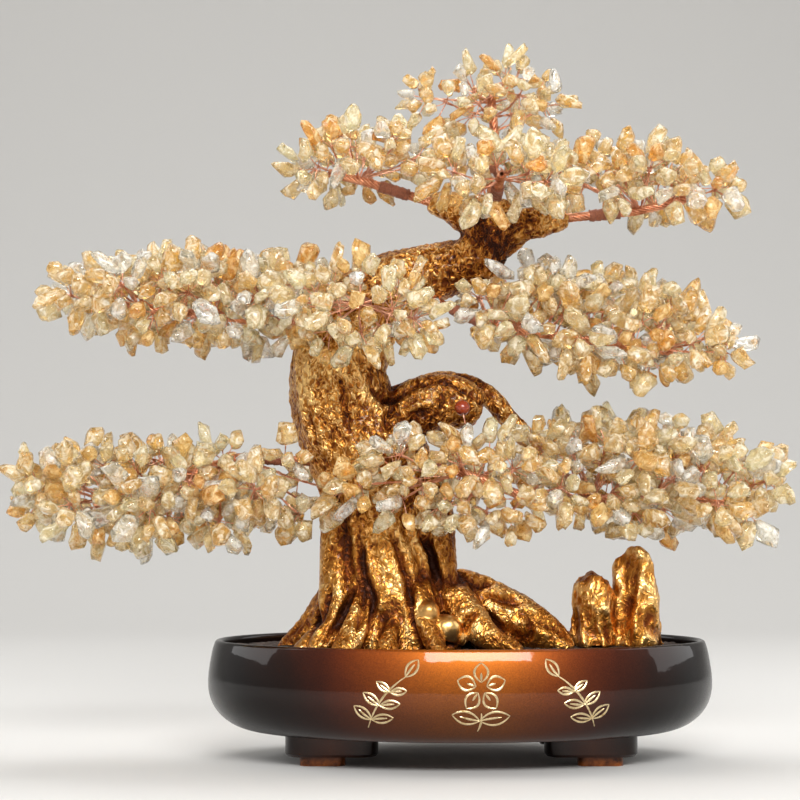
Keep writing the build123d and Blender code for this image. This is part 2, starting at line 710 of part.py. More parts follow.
def entry(chip_axes, chip_depths, direction):
    """How far before a chip's middle a wire end on a line through the middle meets it, in chip axes."""
    facing = chip_axes @ direction
    backs = np.flatnonzero(facing < 0)
    spans = chip_depths[backs] / -facing[backs]
    first = backs[spans.argmin()]
    rake = math.sqrt(1 - facing[first] ** 2) / -facing[first]
    return spans.min() + STALK_RADIUS * rake


# Stems: from the pivot outside the trunk, under the pad's middle, to near the pad's end
for name, bough in BOUGHS.items():
    pivot, leave, middle, half = bough["pivot"], bough["leave"], bough["middle"], bough["half"]
    tilt = turned((0, 1, 0), bough["slope"]) @ turned((1, 0, 0), bough["bank"])
    ahead, across, above = tilt.T
    side = 1.0 if middle[0] > pivot[0] else -1.0
    bough["tilt"] = tilt
    first = pivot + leave * (SLEEVE_LENGTH + STEM_BEND)
    end = middle + ahead * side * half[0] * STEM_REACH_SHARE - above * half[2] * STEM_DROP_SHARE
    points = [pivot, first, end]
    if bough["stem"] == "upright":
        points = [pivot, first, middle + UP * half[2] * STEM_DROP_SHARE]
    if bough["stem"] == "straight":
        points = [pivot, pivot + leave * half[1] * STEM_FRONT_SHARE]
    bough["points"] = points

pegs = []
for name, bough in BOUGHS.items():
    points = bough["points"]
    with BuildPart() as stem:
        with BuildLine() as route:
            if bough["stem"] == "straight":
                Line(*[tuple(point) for point in points])
            else:
                FilletPolyline(*[tuple(point) for point in points], radius=STEM_BEND)
        with BuildSketch(Plane(origin=tuple(points[0]), z_dir=tuple(bough["leave"]))):
            Circle(STEM_RADIUS)
        sweep()
        with BuildSketch(Plane(origin=tuple(points[0] - bough["axis"] * KNUCKLE_RADIUS),
                               z_dir=tuple(bough["axis"]))):
            Circle(KNUCKLE_RADIUS)
        extrude(amount=KNUCKLE_RADIUS * 2)
    parts[name + "_stem"] = stem.part
    path = route.wires()[0]
    steps = max(int(path.length / STEM_CLEAR), 2)
    line = [np.array(tuple(path.position_at(step / steps))) for step in range(steps + 1)]
    bough["line"] = np.array(line)
    steps = int(path.length / TWIG_RADIUS)
    bough["fine_line"] = np.array([tuple(path.position_at(step / steps)) for step in range(steps + 1)])
    bough["first_block"] = len(blocks)
    keep([prism_block(name, start, end, STEM_RADIUS) for start, end in zip(line, line[1:])])
    with BuildPart() as sleeve:
        start = bough["pivot"] + bough["leave"] * KNUCKLE_RADIUS * 2
        with BuildSketch(Plane(origin=tuple(start), z_dir=tuple(bough["leave"]))):
            Circle(STEM_RADIUS + GLUE_GAP + SLEEVE_WALL)
            Circle(STEM_RADIUS + GLUE_GAP, mode=Mode.SUBTRACT)
        extrude(amount=SLEEVE_LENGTH)
    parts[name + "_sleeve"] = sleeve.part
    end = start + bough["leave"] * SLEEVE_LENGTH
    keep([prism_block(name, start, end, STEM_RADIUS + GLUE_GAP + SLEEVE_WALL)])
    with BuildPart() as peg:
        start = bough["mouth"] + bough["leave"] * (PEG_PROUD - PEG_LENGTH)
        with BuildSketch(Plane(origin=tuple(start), z_dir=tuple(bough["leave"]))):
            Circle(STEM_RADIUS)
        extrude(amount=PEG_LENGTH)
    pegs.append(peg.part)
parts["stem_pegs"] = Compound(children=pegs)

# Bead: red, on a wire of its own, from the front bough's stem up before the burl
bead_bough = BOUGHS["low_front"]
bead_place = np.array((TRUNK_SWAY * BEAD_SHARES[0], TRUNK_SWAY * BEAD_SHARES[1],
                       SOIL_TOP + TRUNK_HEIGHT * BEAD_SHARES[2]))
with BuildPart() as bead:
    with Locations(tuple(bead_place)):
        Sphere(BEAD_RADIUS)
parts["red_bead"] = bead.part
bead_root = bead_bough["line"][len(bead_bough["line"]) // 2]
bead_way = unit(bead_place - bead_root)
bead_ends = (bead_root + bead_way * (STEM_RADIUS + FIT_GAP * 2),
             bead_place - bead_way * (BEAD_RADIUS + GLUE_GAP))
parts["red_bead_wire"] = wire(*bead_ends, BEAD_WIRE_RADIUS)
bead_block = Block("low_front", facet_directions(CHIP_FACETS * 2, 0) * (BEAD_RADIUS + CHIP_GAP) + bead_place,
                   facet_directions(CHIP_FACETS * 2, 0))
keep([prism_block("low_front", *bead_ends, BEAD_WIRE_RADIUS), bead_block])


def twig_to(bough, place):
    """The two ends of the twig from a bough's stem to a bud, and its way."""
    line = bough["line"]
    spans = np.linalg.norm(line - place, axis=1)
    back = int(spans.min() * TWIG_RAKE_SHARE / STEM_CLEAR)
    covered = int((SLEEVE_LENGTH + KNUCKLE_RADIUS * 2) / STEM_CLEAR) + 2
    index = min(max(int(spans.argmin()) - back, covered), len(line) - 2)
    joint = line[index]
    along = unit(place - joint)
    run = unit(line[index + 1] - joint)
    square = max(np.linalg.norm(np.cross(run, along)), TWIG_RAKE_SHARE)
    start = joint + along * (STEM_RADIUS + FIT_GAP + TWIG_RADIUS * abs(run @ along)) / square
    end = place - along * (BUD_RADIUS + GLUE_GAP)
    return start, end, along, bough["first_block"] + index


def stem_space(bough, twig):
    """The least space between a twig's sides and its bough's stem."""
    near, far = twig.corners[0][:WIRE_SIDES], twig.corners[0][WIRE_SIDES:]
    points = np.vstack([near + (far - near) * step / WIRE_SIDES for step in range(WIRE_SIDES + 1)])
    spans = np.linalg.norm(points[:, None, :] - bough["fine_line"][None, :, :], axis=2)
    return spans.min() - STEM_RADIUS


# Sprays: each spray's bud takes the roomiest place in its pad that its twig can reach
sprays = []
bud_corners = np.array([tuple(vertex) for vertex in bud.part.vertices()])
for name, bough in BOUGHS.items():
    buds = []
    inner = bough["half"] - (STALK_LENGTH + CHIP_LENGTH * BUD_INSET_SHARE)
    for number in range(bough["sprays"]):
        choices = []
        for attempt in range(BUD_TRIES):
            spot = np.array([dice.uniform(-1, 1) for axis in range(3)])
            if np.linalg.norm(spot) > 1:
                continue
            place = bough["middle"] + bough["tilt"] @ (spot * inner)
            if np.linalg.norm(bough["line"] - place, axis=1).min() < STEM_CLEAR:
                continue
            space = min([np.linalg.norm(place - other) for other in buds], default=PAD_REACH)
            if space > SPRAY_SPACING and rod_space(place[None, :]) > STALK_LENGTH + TRUNK_CLEAR:
                choices.append((space, tuple(place)))
        for space, place in sorted(choices, reverse=True):
            place = np.array(place)
            start, end, along, stem_block = twig_to(bough, place)
            twig = prism_block(name, start, end, TWIG_RADIUS)
            while stem_space(bough, twig) < GLUE_GAP and (end - start) @ along > STALK_LENGTH:
                start = start + along * TWIG_RADIUS
                twig = prism_block(name, start, end, TWIG_RADIUS)
            if (end - start) @ along < STALK_LENGTH:
                continue
            knob = Block(name, bud_corners + place, facet_directions(CHIP_FACETS, 0))
            skip = (stem_block - 1, stem_block, stem_block + 1)
            if clears_trunk(twig) and fits(twig, GLUE_GAP, skip) and fits(knob, GLUE_GAP):
                keep([twig, knob])
                buds.append(place)
                sprays.append({"bough": name, "place": place, "along": along, "start": start, "end": end,
                               "own": len(blocks) - 1, "stalks": [], "chips": []})
                break

# Stalks in a few cut lengths
stalks = []
for size in range(STALK_SIZES):
    length = STALK_LENGTH + STALK_SPREAD * size / (STALK_SIZES - 1)
    stalks.append((length, wire(np.zeros(3), np.array((length, 0.0, 0.0)), STALK_RADIUS)))

# Chips: each one set on a stalk, end on to its bud, wherever it clears all that is placed already
for turn in range(SPRAY_CHIPS):
    for spray in sprays:
        name = spray["bough"]
        for attempt in range(SPRAY_TRIES):
            direction = unit([dice.gauss(0, 1) for axis in range(3)])
            if direction @ spray["along"] < -TWIG_RAKE_SHARE:
                continue
            shape = dice.randrange(CHIP_SHAPES)
            part, corners, axes, depths = chips[shape]
            swing = dice.uniform(-CHIP_SWING_SHARE, CHIP_SWING_SHARE)
            aim = unit(direction + swing * unit(np.cross(direction, (0.31, 0.72, 0.5))))
            flat = unit(np.cross(aim, [dice.gauss(0, 1) for axis in range(3)]))
            matrix = np.column_stack((aim, np.cross(flat, aim), flat))
            size = dice.randrange(STALK_SIZES)
            length = stalks[size][0]
            ahead = entry(axes, depths, matrix.T @ direction)
            start = spray["place"] + direction * (BUD_RADIUS + GLUE_GAP)
            end = start + direction * length
            middle = end + direction * (GLUE_GAP + ahead)
            block = Block(name, corners @ matrix.T + middle, axes @ matrix.T)
            if not clears_trunk(block) or not fits(block, CHIP_GAP):
                continue
            stalk = prism_block(name, start, end, STALK_RADIUS)
            if not fits(stalk, GLUE_GAP, skip=(spray["own"],)):
                continue
            keep([stalk, block])
            spray["stalks"].append((size, start, direction, np.cross(flat, direction)))
            spray["chips"].append((shape, middle, matrix))
            break

for name in BOUGHS:
    wires = []
    stones = []
    for spray in sprays:
        if spray["bough"] == name:
            wires.append(wire(spray["start"], spray["end"], TWIG_RADIUS))
            wires.append(bud.part.moved(Location(tuple(spray["place"]))))
            for size, start, direction, across in spray["stalks"]:
                spot = Plane(origin=tuple(start), x_dir=tuple(direction), z_dir=tuple(across))
                wires.append(stalks[size][1].moved(spot.location))
            for shape, middle, matrix in spray["chips"]:
                spot = Plane(origin=tuple(middle), x_dir=tuple(matrix[:, 0]), z_dir=tuple(matrix[:, 2]))
                stones.append(chips[shape][0].moved(spot.location))
    parts[name + "_sprays"] = Compound(children=wires)
    parts[name + "_stones"] = Compound(children=stones)
    print(name, "sprays", sum(spray["bough"] == name for spray in sprays), "stones", len(stones))

os.makedirs("parts", exist_ok=True)
for name, shape in parts.items():
    shape.label = name
    export_step(shape, "parts/" + name + ".step")
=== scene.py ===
import json
import math
import random

import bmesh
import bpy
import numpy as np
from numpy.linalg import norm
from mathutils import Matrix, Vector, noise
from mathutils.bvhtree import BVHTree


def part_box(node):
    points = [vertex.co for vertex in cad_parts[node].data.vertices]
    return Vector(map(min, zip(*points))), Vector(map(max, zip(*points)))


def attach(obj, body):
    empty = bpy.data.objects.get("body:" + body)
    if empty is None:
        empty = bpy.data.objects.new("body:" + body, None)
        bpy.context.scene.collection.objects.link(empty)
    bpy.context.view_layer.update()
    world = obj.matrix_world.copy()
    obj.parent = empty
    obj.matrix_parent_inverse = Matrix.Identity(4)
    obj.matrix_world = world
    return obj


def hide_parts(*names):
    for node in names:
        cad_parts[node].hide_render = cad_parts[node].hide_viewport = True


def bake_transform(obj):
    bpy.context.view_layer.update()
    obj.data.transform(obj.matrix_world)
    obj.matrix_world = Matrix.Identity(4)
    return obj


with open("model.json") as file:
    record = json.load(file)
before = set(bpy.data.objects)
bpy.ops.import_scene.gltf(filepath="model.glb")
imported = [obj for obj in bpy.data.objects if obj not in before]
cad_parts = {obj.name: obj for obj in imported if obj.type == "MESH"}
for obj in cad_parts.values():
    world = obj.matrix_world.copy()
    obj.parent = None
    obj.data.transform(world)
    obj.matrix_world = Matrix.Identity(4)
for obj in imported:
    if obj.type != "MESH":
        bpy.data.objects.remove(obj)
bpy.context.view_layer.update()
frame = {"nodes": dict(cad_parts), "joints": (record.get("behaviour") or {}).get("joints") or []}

# Studio: a sweep of pale paper on a table, lit by large soft boxes, with the camera a metre before the
# tree at the height of its lowest boughs, looking a little up.
CAMERA_PLACE = Vector((0.0, -1.0, 0.118))
CAMERA_AIM = Vector((0.0, 0.0, 0.1616))
CAMERA_LENS = 99.2
CAMERA_NEAR = 0.01
PAPER_COLOUR = (0.68, 0.67, 0.65)
SKY_COLOUR = (1.0, 0.985, 0.96, 1.0)
SKY_STRENGTH = 0.40
# Each soft box's place, aim, width and height, and watts
SOFT_BOXES = {
    "box_front": ((0.15, -1.08, 0.68), (0.0, 0.0, 0.14), (0.72, 0.28), 13.0),
    "box_left": ((-1.30, 0.10, 0.85), (0.0, 0.0, 0.18), (1.00, 1.10), 9.0),
    "box_right": ((1.30, 0.15, 0.75), (0.0, 0.0, 0.16), (1.00, 1.10), 8.0),
    "box_top": ((0.10, 0.35, 1.25), (0.0, 0.0, 0.20), (0.90, 0.50), 7.0),
}
SWEEP_HALF_WIDTH = 2.6
SWEEP_FRONT = -2.2
SWEEP_BACK = 0.9
SWEEP_ROUND = 0.8
SWEEP_HEIGHT = 2.6
SWEEP_STEPS = 16

scene = bpy.context.scene
scene.view_settings.view_transform = "Standard"


def add_node(tree, kind, inputs, **settings):
    """A node in a tree, with its settings made and its inputs linked or set."""
    made = tree.nodes.new(kind)
    for setting, value in settings.items():
        setattr(made, setting, value)
    for socket, value in inputs.items():
        if isinstance(value, bpy.types.NodeSocket):
            tree.links.new(value, made.inputs[socket])
        else:
            made.inputs[socket].default_value = value
    return made


class Finish:
    """A surface finish: plain values on its shader, and patterns linked into it."""

    def __init__(self, name, plain):
        self.material = bpy.data.materials.new(name)
        self.material.use_nodes = True
        self.tree = self.material.node_tree
        self.shader = self.tree.nodes["Principled BSDF"]
        self.place = add_node(self.tree, "ShaderNodeTexCoord", {}).outputs["Object"]
        for socket, value in plain.items():
            self.shader.inputs[socket].default_value = value

    def stretch(self, vector, scale, shift=(0, 0, 0)):
        """A place, shifted and scaled along each axis."""
        inputs = {"Vector": vector, "Location": shift, "Scale": scale}
        return add_node(self.tree, "ShaderNodeMapping", inputs).outputs["Vector"]

    def axis(self, vector, name):
        """One axis of a place."""
        return add_node(self.tree, "ShaderNodeSeparateXYZ", {"Vector": vector}).outputs[name]

    def attribute(self, name, output):
        """A value that the mesh carries."""
        return add_node(self.tree, "ShaderNodeAttribute", {}, attribute_name=name).outputs[output]

    def noise(self, vector, size, detail=3.0, rough=0.55, swirl=0.0):
        """Soft blotches of about this size."""
        inputs = {"Vector": vector, "Scale": 1 / size, "Detail": detail, "Roughness": rough,
                  "Distortion": swirl}
        return add_node(self.tree, "ShaderNodeTexNoise", inputs).outputs["Fac"]

    def cells(self, vector, size):
        """The distance field of cells of about this size."""
        inputs = {"Vector": vector, "Scale": 1 / size}
        return add_node(self.tree, "ShaderNodeTexVoronoi", inputs).outputs["Distance"]

    def maths(self, step, first, second=0.0):
        """One step of arithmetic, kept from 0 to 1."""
        made = add_node(self.tree, "ShaderNodeMath", {0: first, 1: second}, operation=step, use_clamp=True)
        return made.outputs["Value"]

    def span(self, value, low, high, first=0.0, last=1.0):
        """A value spread from one range to another, and kept within it."""
        inputs = {"Value": value, "From Min": low, "From Max": high, "To Min": first, "To Max": last}
        return add_node(self.tree, "ShaderNodeMapRange", inputs).outputs["Result"]

    def ramp(self, value, *stops):
        """Colours or greys spread over a value from 0 to 1."""
        made = add_node(self.tree, "ShaderNodeValToRGB", {"Fac": value})
        elements = made.color_ramp.elements
        elements.remove(elements[1])
        for index, (position, colour) in enumerate(stops):
            element = elements.new(position) if index else elements[0]
            element.position = position
            element.color = (*colour, 1.0)
        return made.outputs["Color"]

    def mix(self, share, first, second, blend="MIX"):
        """Two colours mixed by a share."""
        inputs = {0: share, 6: first, 7: second}
        for socket in (6, 7):
            if isinstance(inputs[socket], tuple):
                inputs[socket] = (*inputs[socket], 1.0)
        return add_node(self.tree, "ShaderNodeMix", inputs, data_type="RGBA", blend_type=blend).outputs[2]

    def bump(self, height, depth, under=None):
        """A surface raised by a height from 0 to 1, up to a depth in metres."""
        inputs = {"Height": height, "Distance": depth}
        if under is not None:
            inputs["Normal"] = under
        return add_node(self.tree, "ShaderNodeBump", inputs).outputs["Normal"]

    def feed(self, patterns):
        """Link patterns into the shader."""
        for socket, value in patterns.items():
            self.tree.links.new(value, self.shader.inputs[socket])


def dress(piece, finish):
    """Give a piece one finish."""
    piece.data.materials.clear()
    piece.data.materials.append(finish.material)


def new_piece(name, mesh):
    """A mesh as an object at the origin."""
    piece = bpy.data.objects.new(name, mesh)
    scene.collection.objects.link(piece)
    return piece


def mesh_of(name, points, faces, smooth=True):
    """A mesh from points and faces."""
    mesh = bpy.data.meshes.new(name)
    mesh.from_pydata([tuple(point) for point in points], [], faces)
    mesh.polygons.foreach_set("use_smooth", [smooth] * len(mesh.polygons))
    mesh.update()
    return mesh


camera_data = bpy.data.cameras.new("camera")
camera_data.lens = CAMERA_LENS
camera_data.clip_start = CAMERA_NEAR
camera = bpy.data.objects.new("camera", camera_data)
camera.location = CAMERA_PLACE
camera.rotation_euler = (CAMERA_AIM - CAMERA_PLACE).to_track_quat("-Z", "Y").to_euler()
scene.collection.objects.link(camera)
scene.camera = camera

for name, (spot, aim, size, watts) in SOFT_BOXES.items():
    lamp_data = bpy.data.lights.new(name, "AREA")
    lamp_data.shape = "RECTANGLE"
    lamp_data.size, lamp_data.size_y = size
    lamp_data.energy = watts
    lamp = bpy.data.objects.new(name, lamp_data)
    lamp.location = spot
    lamp.rotation_euler = (Vector(aim) - Vector(spot)).to_track_quat("-Z", "Y").to_euler()
    scene.collection.objects.link(lamp)

sky = bpy.data.worlds.new("studio")
sky.use_nodes = True
sky.node_tree.nodes["Background"].inputs["Color"].default_value = SKY_COLOUR
sky.node_tree.nodes["Background"].inputs["Strength"].default_value = SKY_STRENGTH
scene.world = sky

profile = [(SWEEP_FRONT, 0.0), (SWEEP_BACK, 0.0)]
for step in range(1, SWEEP_STEPS + 1):
    angle = math.pi / 2 * step / SWEEP_STEPS
    profile.append((SWEEP_BACK + SWEEP_ROUND * math.sin(angle), SWEEP_ROUND * (1 - math.cos(angle))))
profile.append((SWEEP_BACK + SWEEP_ROUND, SWEEP_HEIGHT))
sweep_points = [(side * SWEEP_HALF_WIDTH, y, z) for y, z in profile for side in (-1, 1)]
sweep_faces = [(2 * row, 2 * row + 1, 2 * row + 3, 2 * row + 2) for row in range(len(profile) - 1)]
sweep = new_piece("paper_sweep", mesh_of("paper_sweep", sweep_points, sweep_faces))
paper = Finish("pale_paper", {"Roughness": 0.85, "Base Color": (*PAPER_COLOUR, 1.0)})
fibres = paper.noise(paper.place, 0.0015)
paper.feed({"Normal": paper.bump(fibres, 0.00008)})
dress(sweep, paper)

# Tray: a resin casting in candy lacquer over metal flake. Its colour holds painted light and shade: bright
# copper in the middle of each side, painted shade to near black at both ends and along the foot. The soil
# and the trunk stand in it.
TRAY_MIDDLE = 0.029
TRAY_HALF = 0.1135
TRAY_BASE = 0.0135
TRAY_HEIGHT = 0.040
# Painted light and shade along the tray: bright copper in the middle, painted shade to near black at the
# ends
LACQUER_LIGHT_AND_SHADE = (
    (0.00, (0.430, 0.108, 0.0045)), (0.14, (0.410, 0.100, 0.0045)), (0.32, (0.260, 0.052, 0.0036)),
    (0.47, (0.130, 0.022, 0.0025)), (0.56, (0.062, 0.0105, 0.0020)), (0.69, (0.020, 0.0050, 0.0020)),
    (0.86, (0.0060, 0.0030, 0.0022)),
)
# Painted shade towards the foot: how much of the colour is left at each share of the height
LACQUER_SHADE_BY_HEIGHT = ((0.00, 0.20), (0.30, 0.30), (0.62, 0.62), (0.95, 1.00))


def lacquer(name, middle_x, half, spray, low, high):
    """Candy lacquer over metal flake, with painted light in its middle and painted shade away from it and
    towards its lower edge.
    """
    made = Finish(name, {"Metallic": 0.45, "Specular IOR Level": 0.10, "Coat Weight": 0.5,
                         "Coat Roughness": 0.05, "Coat IOR": 1.5})
    shift = (-middle_x / half, 0.0, 0.0)
    along = made.axis(made.stretch(made.place, (1 / half, 1 / half, 1 / half), shift), "X")
    distance = add_node(made.tree, "ShaderNodeMath", {0: along}, operation="ABSOLUTE").outputs["Value"]
    drift = made.span(made.noise(made.place, 0.05), 0.3, 0.7, -0.04, 0.04)
    away = made.maths("ADD", distance, drift)
    rise = made.span(made.axis(made.place, "Z"), low, high)
    shade_towards_foot = made.ramp(rise, *[(place, (grey,) * 3) for place, grey in LACQUER_SHADE_BY_HEIGHT])
    # Painted light and shade by distance from the middle, darkened by painted shade towards the lower edge
    lit_and_shaded = made.mix(1.0, made.ramp(away, *spray), shade_towards_foot, "MULTIPLY")
    flake = made.noise(made.place, 0.0005, detail=1.0)
    glint = made.span(flake, 0.35, 0.75, 0.80, 1.25)
    orange_peel = made.noise(made.place, 0.004, detail=1.0)
    made.feed({
        "Base Color": made.mix(1.0, lit_and_shaded, glint, "MULTIPLY"),
        "Roughness": made.span(flake, 0.3, 0.7, 0.34, 0.46),
        "Coat Normal": made.bump(orange_peel, 0.00004),
    })
    return made


tray_top = TRAY_BASE + TRAY_HEIGHT
dress(frame["nodes"]["tray"],
      lacquer("copper_lacquer", TRAY_MIDDLE, TRAY_HALF, LACQUER_LIGHT_AND_SHADE, TRAY_BASE, tray_top))

# Sprigs on the tray's front: three plain leaf and blossom motifs, cut shallow into the lacquer with a
# gouge and gilded. Each stroke swells in its middle and runs out to a point.
SPRIG_MIDDLES = ((-0.004, 0.0345), (0.034, 0.0345), (0.073, 0.0345))
SPRIG_HALF = 0.0150
STROKE_WIDTH = 0.00060
STROKE_PROUD = 0.00016
STROKE_SUNK = 0.00030
STROKE_STEPS = 14
STROKE_END = 0.25
STROKE_CORNERS = 5
SIGHT_START = -0.3
LEAF_BELLY = 0.20
LEAF_RIB = 0.72
PETALS = 5
PETAL_BELLY = 0.36
GILT = (0.78, 0.62, 0.36)
GILT_WORN = (0.42, 0.27, 0.10)

tray_tree = BVHTree.FromObject(frame["nodes"]["tray"], bpy.context.evaluated_depsgraph_get())


def bow(start, end, belly):
    """A stroke from start to end that bows out sideways by a share of its length."""
    start, end = np.array(start), np.array(end)
    across = np.array((start[1] - end[1], end[0] - start[0])) * belly
    steps = np.linspace(0, 1, STROKE_STEPS)[:, None]
    return start * (1 - steps) + end * steps + across * 4 * steps * (1 - steps)


def leaf(root, tip, belly):
    """The two sides of a leaf and its rib."""
    root, tip = np.array(root), np.array(tip)
    rib_end = root + (tip - root) * LEAF_RIB
    return [bow(root, tip, belly), bow(root, tip, -belly), bow(root, rib_end, belly * 0.12)]


def leaf_sprig(side):
    """A bowed stalk with three pairs of leaves and one at its tip."""
    strokes = [bow((-0.62 * side, -0.92), (0.42 * side, 0.52), 0.10 * side)]
    for share, reach in ((0.16, 0.62), (0.44, 0.58), (0.70, 0.48)):
        x = (-0.62 + 1.04 * share) * side - 0.16 * side * 4 * share * (1 - share) * 0.9
        y = -0.92 + 1.44 * share
        strokes += leaf((x, y), (x - reach * 0.80 * side, y + reach * 0.62), LEAF_BELLY)
        strokes += leaf((x, y), (x + reach * 0.98 * side, y + reach * 0.10), LEAF_BELLY)
    strokes += leaf((0.42 * side, 0.52), (0.78 * side, 1.0), 0.24)
    return strokes


def blossom():
    """Five open petals round an eye, over a pair of leaves."""
    strokes = []
    eye = np.array((0.0, 0.22))
    for petal in range(PETALS):
        angle = math.pi / 2 + 2 * math.pi * petal / PETALS
        way = np.array((math.cos(angle), math.sin(angle)))
        near, far = eye + way * 0.16, eye + way * 0.70
        strokes += [bow(near, far, PETAL_BELLY), bow(near, far, -PETAL_BELLY)]
        strokes.append(bow(eye + way * 0.20, eye + way * 0.42, 0.0))
    strokes.append(bow((0.0, -0.48), (-0.10, -1.0), 0.08))
    strokes += leaf((-0.04, -0.70), (-0.82, -0.52), 0.22)
    strokes += leaf((-0.04, -0.70), (0.80, -0.56), 0.22)
    return strokes


def tube_faces(first, rings, around, closed=False):
    """The faces of a tube of rings of points, capped at both ends or closed into a loop."""
    faces = []
    for ring in range(rings if closed else rings - 1):
        low = first + ring * around
        high = first + (ring + 1) % rings * around
        for column in range(around):
            nearby = (column + 1) % around
            faces.append((low + column, low + nearby, high + nearby, high + column))
    if not closed:
        last = first + (rings - 1) * around
        faces.append(tuple(range(first, first + around))[::-1])
        faces.append(tuple(range(last, last + around)))
    return faces


sprig_points = []
sprig_faces = []
for (middle_x, middle_z), strokes in zip(SPRIG_MIDDLES, (leaf_sprig(1), blossom(), leaf_sprig(-1))):
    for stroke in strokes:
        spots = []
        for u, v in stroke * SPRIG_HALF:
            aim = Vector((middle_x + u, SIGHT_START, middle_z + v))
            spots.append(tray_tree.ray_cast(aim, Vector((0.0, 1.0, 0.0)))[:2])
        first = len(sprig_points)
        for index, (spot, normal) in enumerate(spots):
            ahead = spots[min(index + 1, len(spots) - 1)][0] - spots[max(index - 1, 0)][0]
            side = normal.cross(ahead).normalized()
            share = index / (len(spots) - 1)
            swell = math.sin(math.pi * (0.08 + 0.84 * share))
            width = STROKE_WIDTH * (STROKE_END + (1 - STROKE_END) * swell)
            sprig_points += [spot - side * width - normal * STROKE_SUNK, spot - side * width * 0.8,
                             spot + normal * STROKE_PROUD, spot + side * width * 0.8,
                             spot + side * width - normal * STROKE_SUNK]
        sprig_faces += tube_faces(first, len(spots), STROKE_CORNERS)


def facing_out(mesh):
    """Turn every face of closed shells outwards."""
    work = bmesh.new()
    work.from_mesh(mesh)
    bmesh.ops.recalc_face_normals(work, faces=work.faces)
    work.to_mesh(mesh)
    work.free()
    return mesh


sprig_mesh = mesh_of("tray_sprigs", sprig_points, sprig_faces, smooth=False)
sprigs = new_piece("tray_sprigs", facing_out(sprig_mesh))
gilt = Finish("pale_gilt", {"Metallic": 1.0})
wear = gilt.noise(gilt.place, 0.0025, detail=5.0, rough=0.7)
gilt.feed({
    "Base Color": gilt.ramp(wear, (0.30, GILT_WORN), (0.52, GILT)),
    "Roughness": gilt.span(wear, 0.3, 0.7, 0.45, 0.22),
    "Normal": gilt.bump(gilt.noise(gilt.place, 0.0006), 0.00006),
})
dress(sprigs, gilt)
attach(sprigs, "base")

# Feet: four cast blocks in the tray's lacquer, dark all over, with painted shade away from each foot's
# middle and a painted orange highlight along their lower pads. A wooden dowel in each holds it to the tray.
# Painted light and shade on each foot: its middle a little brighter, painted shade to near black at its
# ends
FOOT_LIGHT_AND_SHADE = (
    (0.0, (0.060, 0.014, 0.0040)), (0.55, (0.022, 0.006, 0.0025)), (0.95, (0.007, 0.003, 0.0020)),
)
PAD_LOW, PAD_HIGH = 0.0015, 0.0045
# The colour of the painted orange highlight along the lower pads
PAD_HIGHLIGHT_COLOUR = (0.36, 0.095, 0.014)
DOWEL_PALE = (0.62, 0.44, 0.25)
DOWEL_DARK = (0.40, 0.25, 0.12)

for name in ("foot_front_left", "foot_front_right", "foot_rear_left", "foot_rear_right"):
    low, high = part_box(name)
    middle_x = (low[0] + high[0]) / 2
    half = (high[0] - low[0]) / 2
    foot = lacquer(name + "_lacquer", middle_x, half, FOOT_LIGHT_AND_SHADE, low[2] - TRAY_HEIGHT, low[2])
    # A painted orange highlight along each lower pad, broken up by noise
    highlight_breakup = foot.noise(foot.place, 0.004, detail=5.0, rough=0.7)
    height = foot.axis(foot.place, "Z")
    edge = foot.span(height, PAD_LOW, PAD_HIGH, 0.75, 0.0)
    pad_highlight_share = foot.maths("MULTIPLY", edge, foot.span(highlight_breakup, 0.35, 0.6))
    painted = foot.shader.inputs["Base Color"].links[0].from_socket
    foot.feed({"Base Color": foot.mix(pad_highlight_share, painted, PAD_HIGHLIGHT_COLOUR)})
    dress(frame["nodes"][name], foot)

dowel = Finish("dowel_wood_grain", {"Roughness": 0.7})
rings = dowel.noise(dowel.stretch(dowel.place, (1.0, 1.0, 0.12)), 0.0012, detail=4.0)
dowel.feed({
    "Base Color": dowel.ramp(rings, (0.35, DOWEL_DARK), (0.65, DOWEL_PALE)),
    "Normal": dowel.bump(rings, 0.0001),
})
dress(frame["nodes"]["foot_dowels"], dowel)

# Filling: plaster poured into the tray to weigh it down, with a steel rod set in it that stands up into
# the trunk. Both are hidden once the soil is spread.
PLASTER_PALE = (0.74, 0.72, 0.68)
PLASTER_GREY = (0.55, 0.53, 0.50)
STEEL_PALE = (0.55, 0.55, 0.56)
STEEL_DARK = (0.30, 0.29, 0.29)

plaster = Finish("poured_plaster", {"Roughness": 0.9})
pores = plaster.noise(plaster.place, 0.003, detail=6.0, rough=0.7)
plaster.feed({
    "Base Color": plaster.ramp(pores, (0.3, PLASTER_GREY), (0.6, PLASTER_PALE)),
    "Normal": plaster.bump(pores, 0.0004),
})
dress(frame["nodes"]["plaster_ballast"], plaster)
steel = Finish("drawn_steel", {"Metallic": 1.0})
drawn = steel.noise(steel.stretch(steel.place, (1.0, 1.0, 0.02)), 0.0006)
steel.feed({
    "Base Color": steel.ramp(drawn, (0.3, STEEL_DARK), (0.7, STEEL_PALE)),
    "Roughness": steel.span(drawn, 0.3, 0.7, 0.30, 0.50),
})
dress(frame["nodes"]["core_rod"], steel)

# Soil: dark grit stirred into glue and spread over the plaster by hand, so that it sets as one lumpy crust
# in the tray. The trunk and the rock stand in it.
SOIL_VOXEL = 0.0013
SOIL_PASSES = 2
SOIL_TOP = 0.050
SOIL_EDGE = 0.0015
SOIL_LUMP = 0.0009
GRIT_SIZE = 0.0032
GRIT_FINE_SIZE = 0.0016
GRIT_FINE_SHARE = 0.6
SOIL_SWELL_SIZE = 0.030
JOIN_SPACE = 0.000002
BALL_FINENESS = 3
SOIL_DARK = (0.016, 0.010, 0.008)
SOIL_MID = (0.055, 0.034, 0.024)
SOIL_PALE = (0.150, 0.105, 0.080)


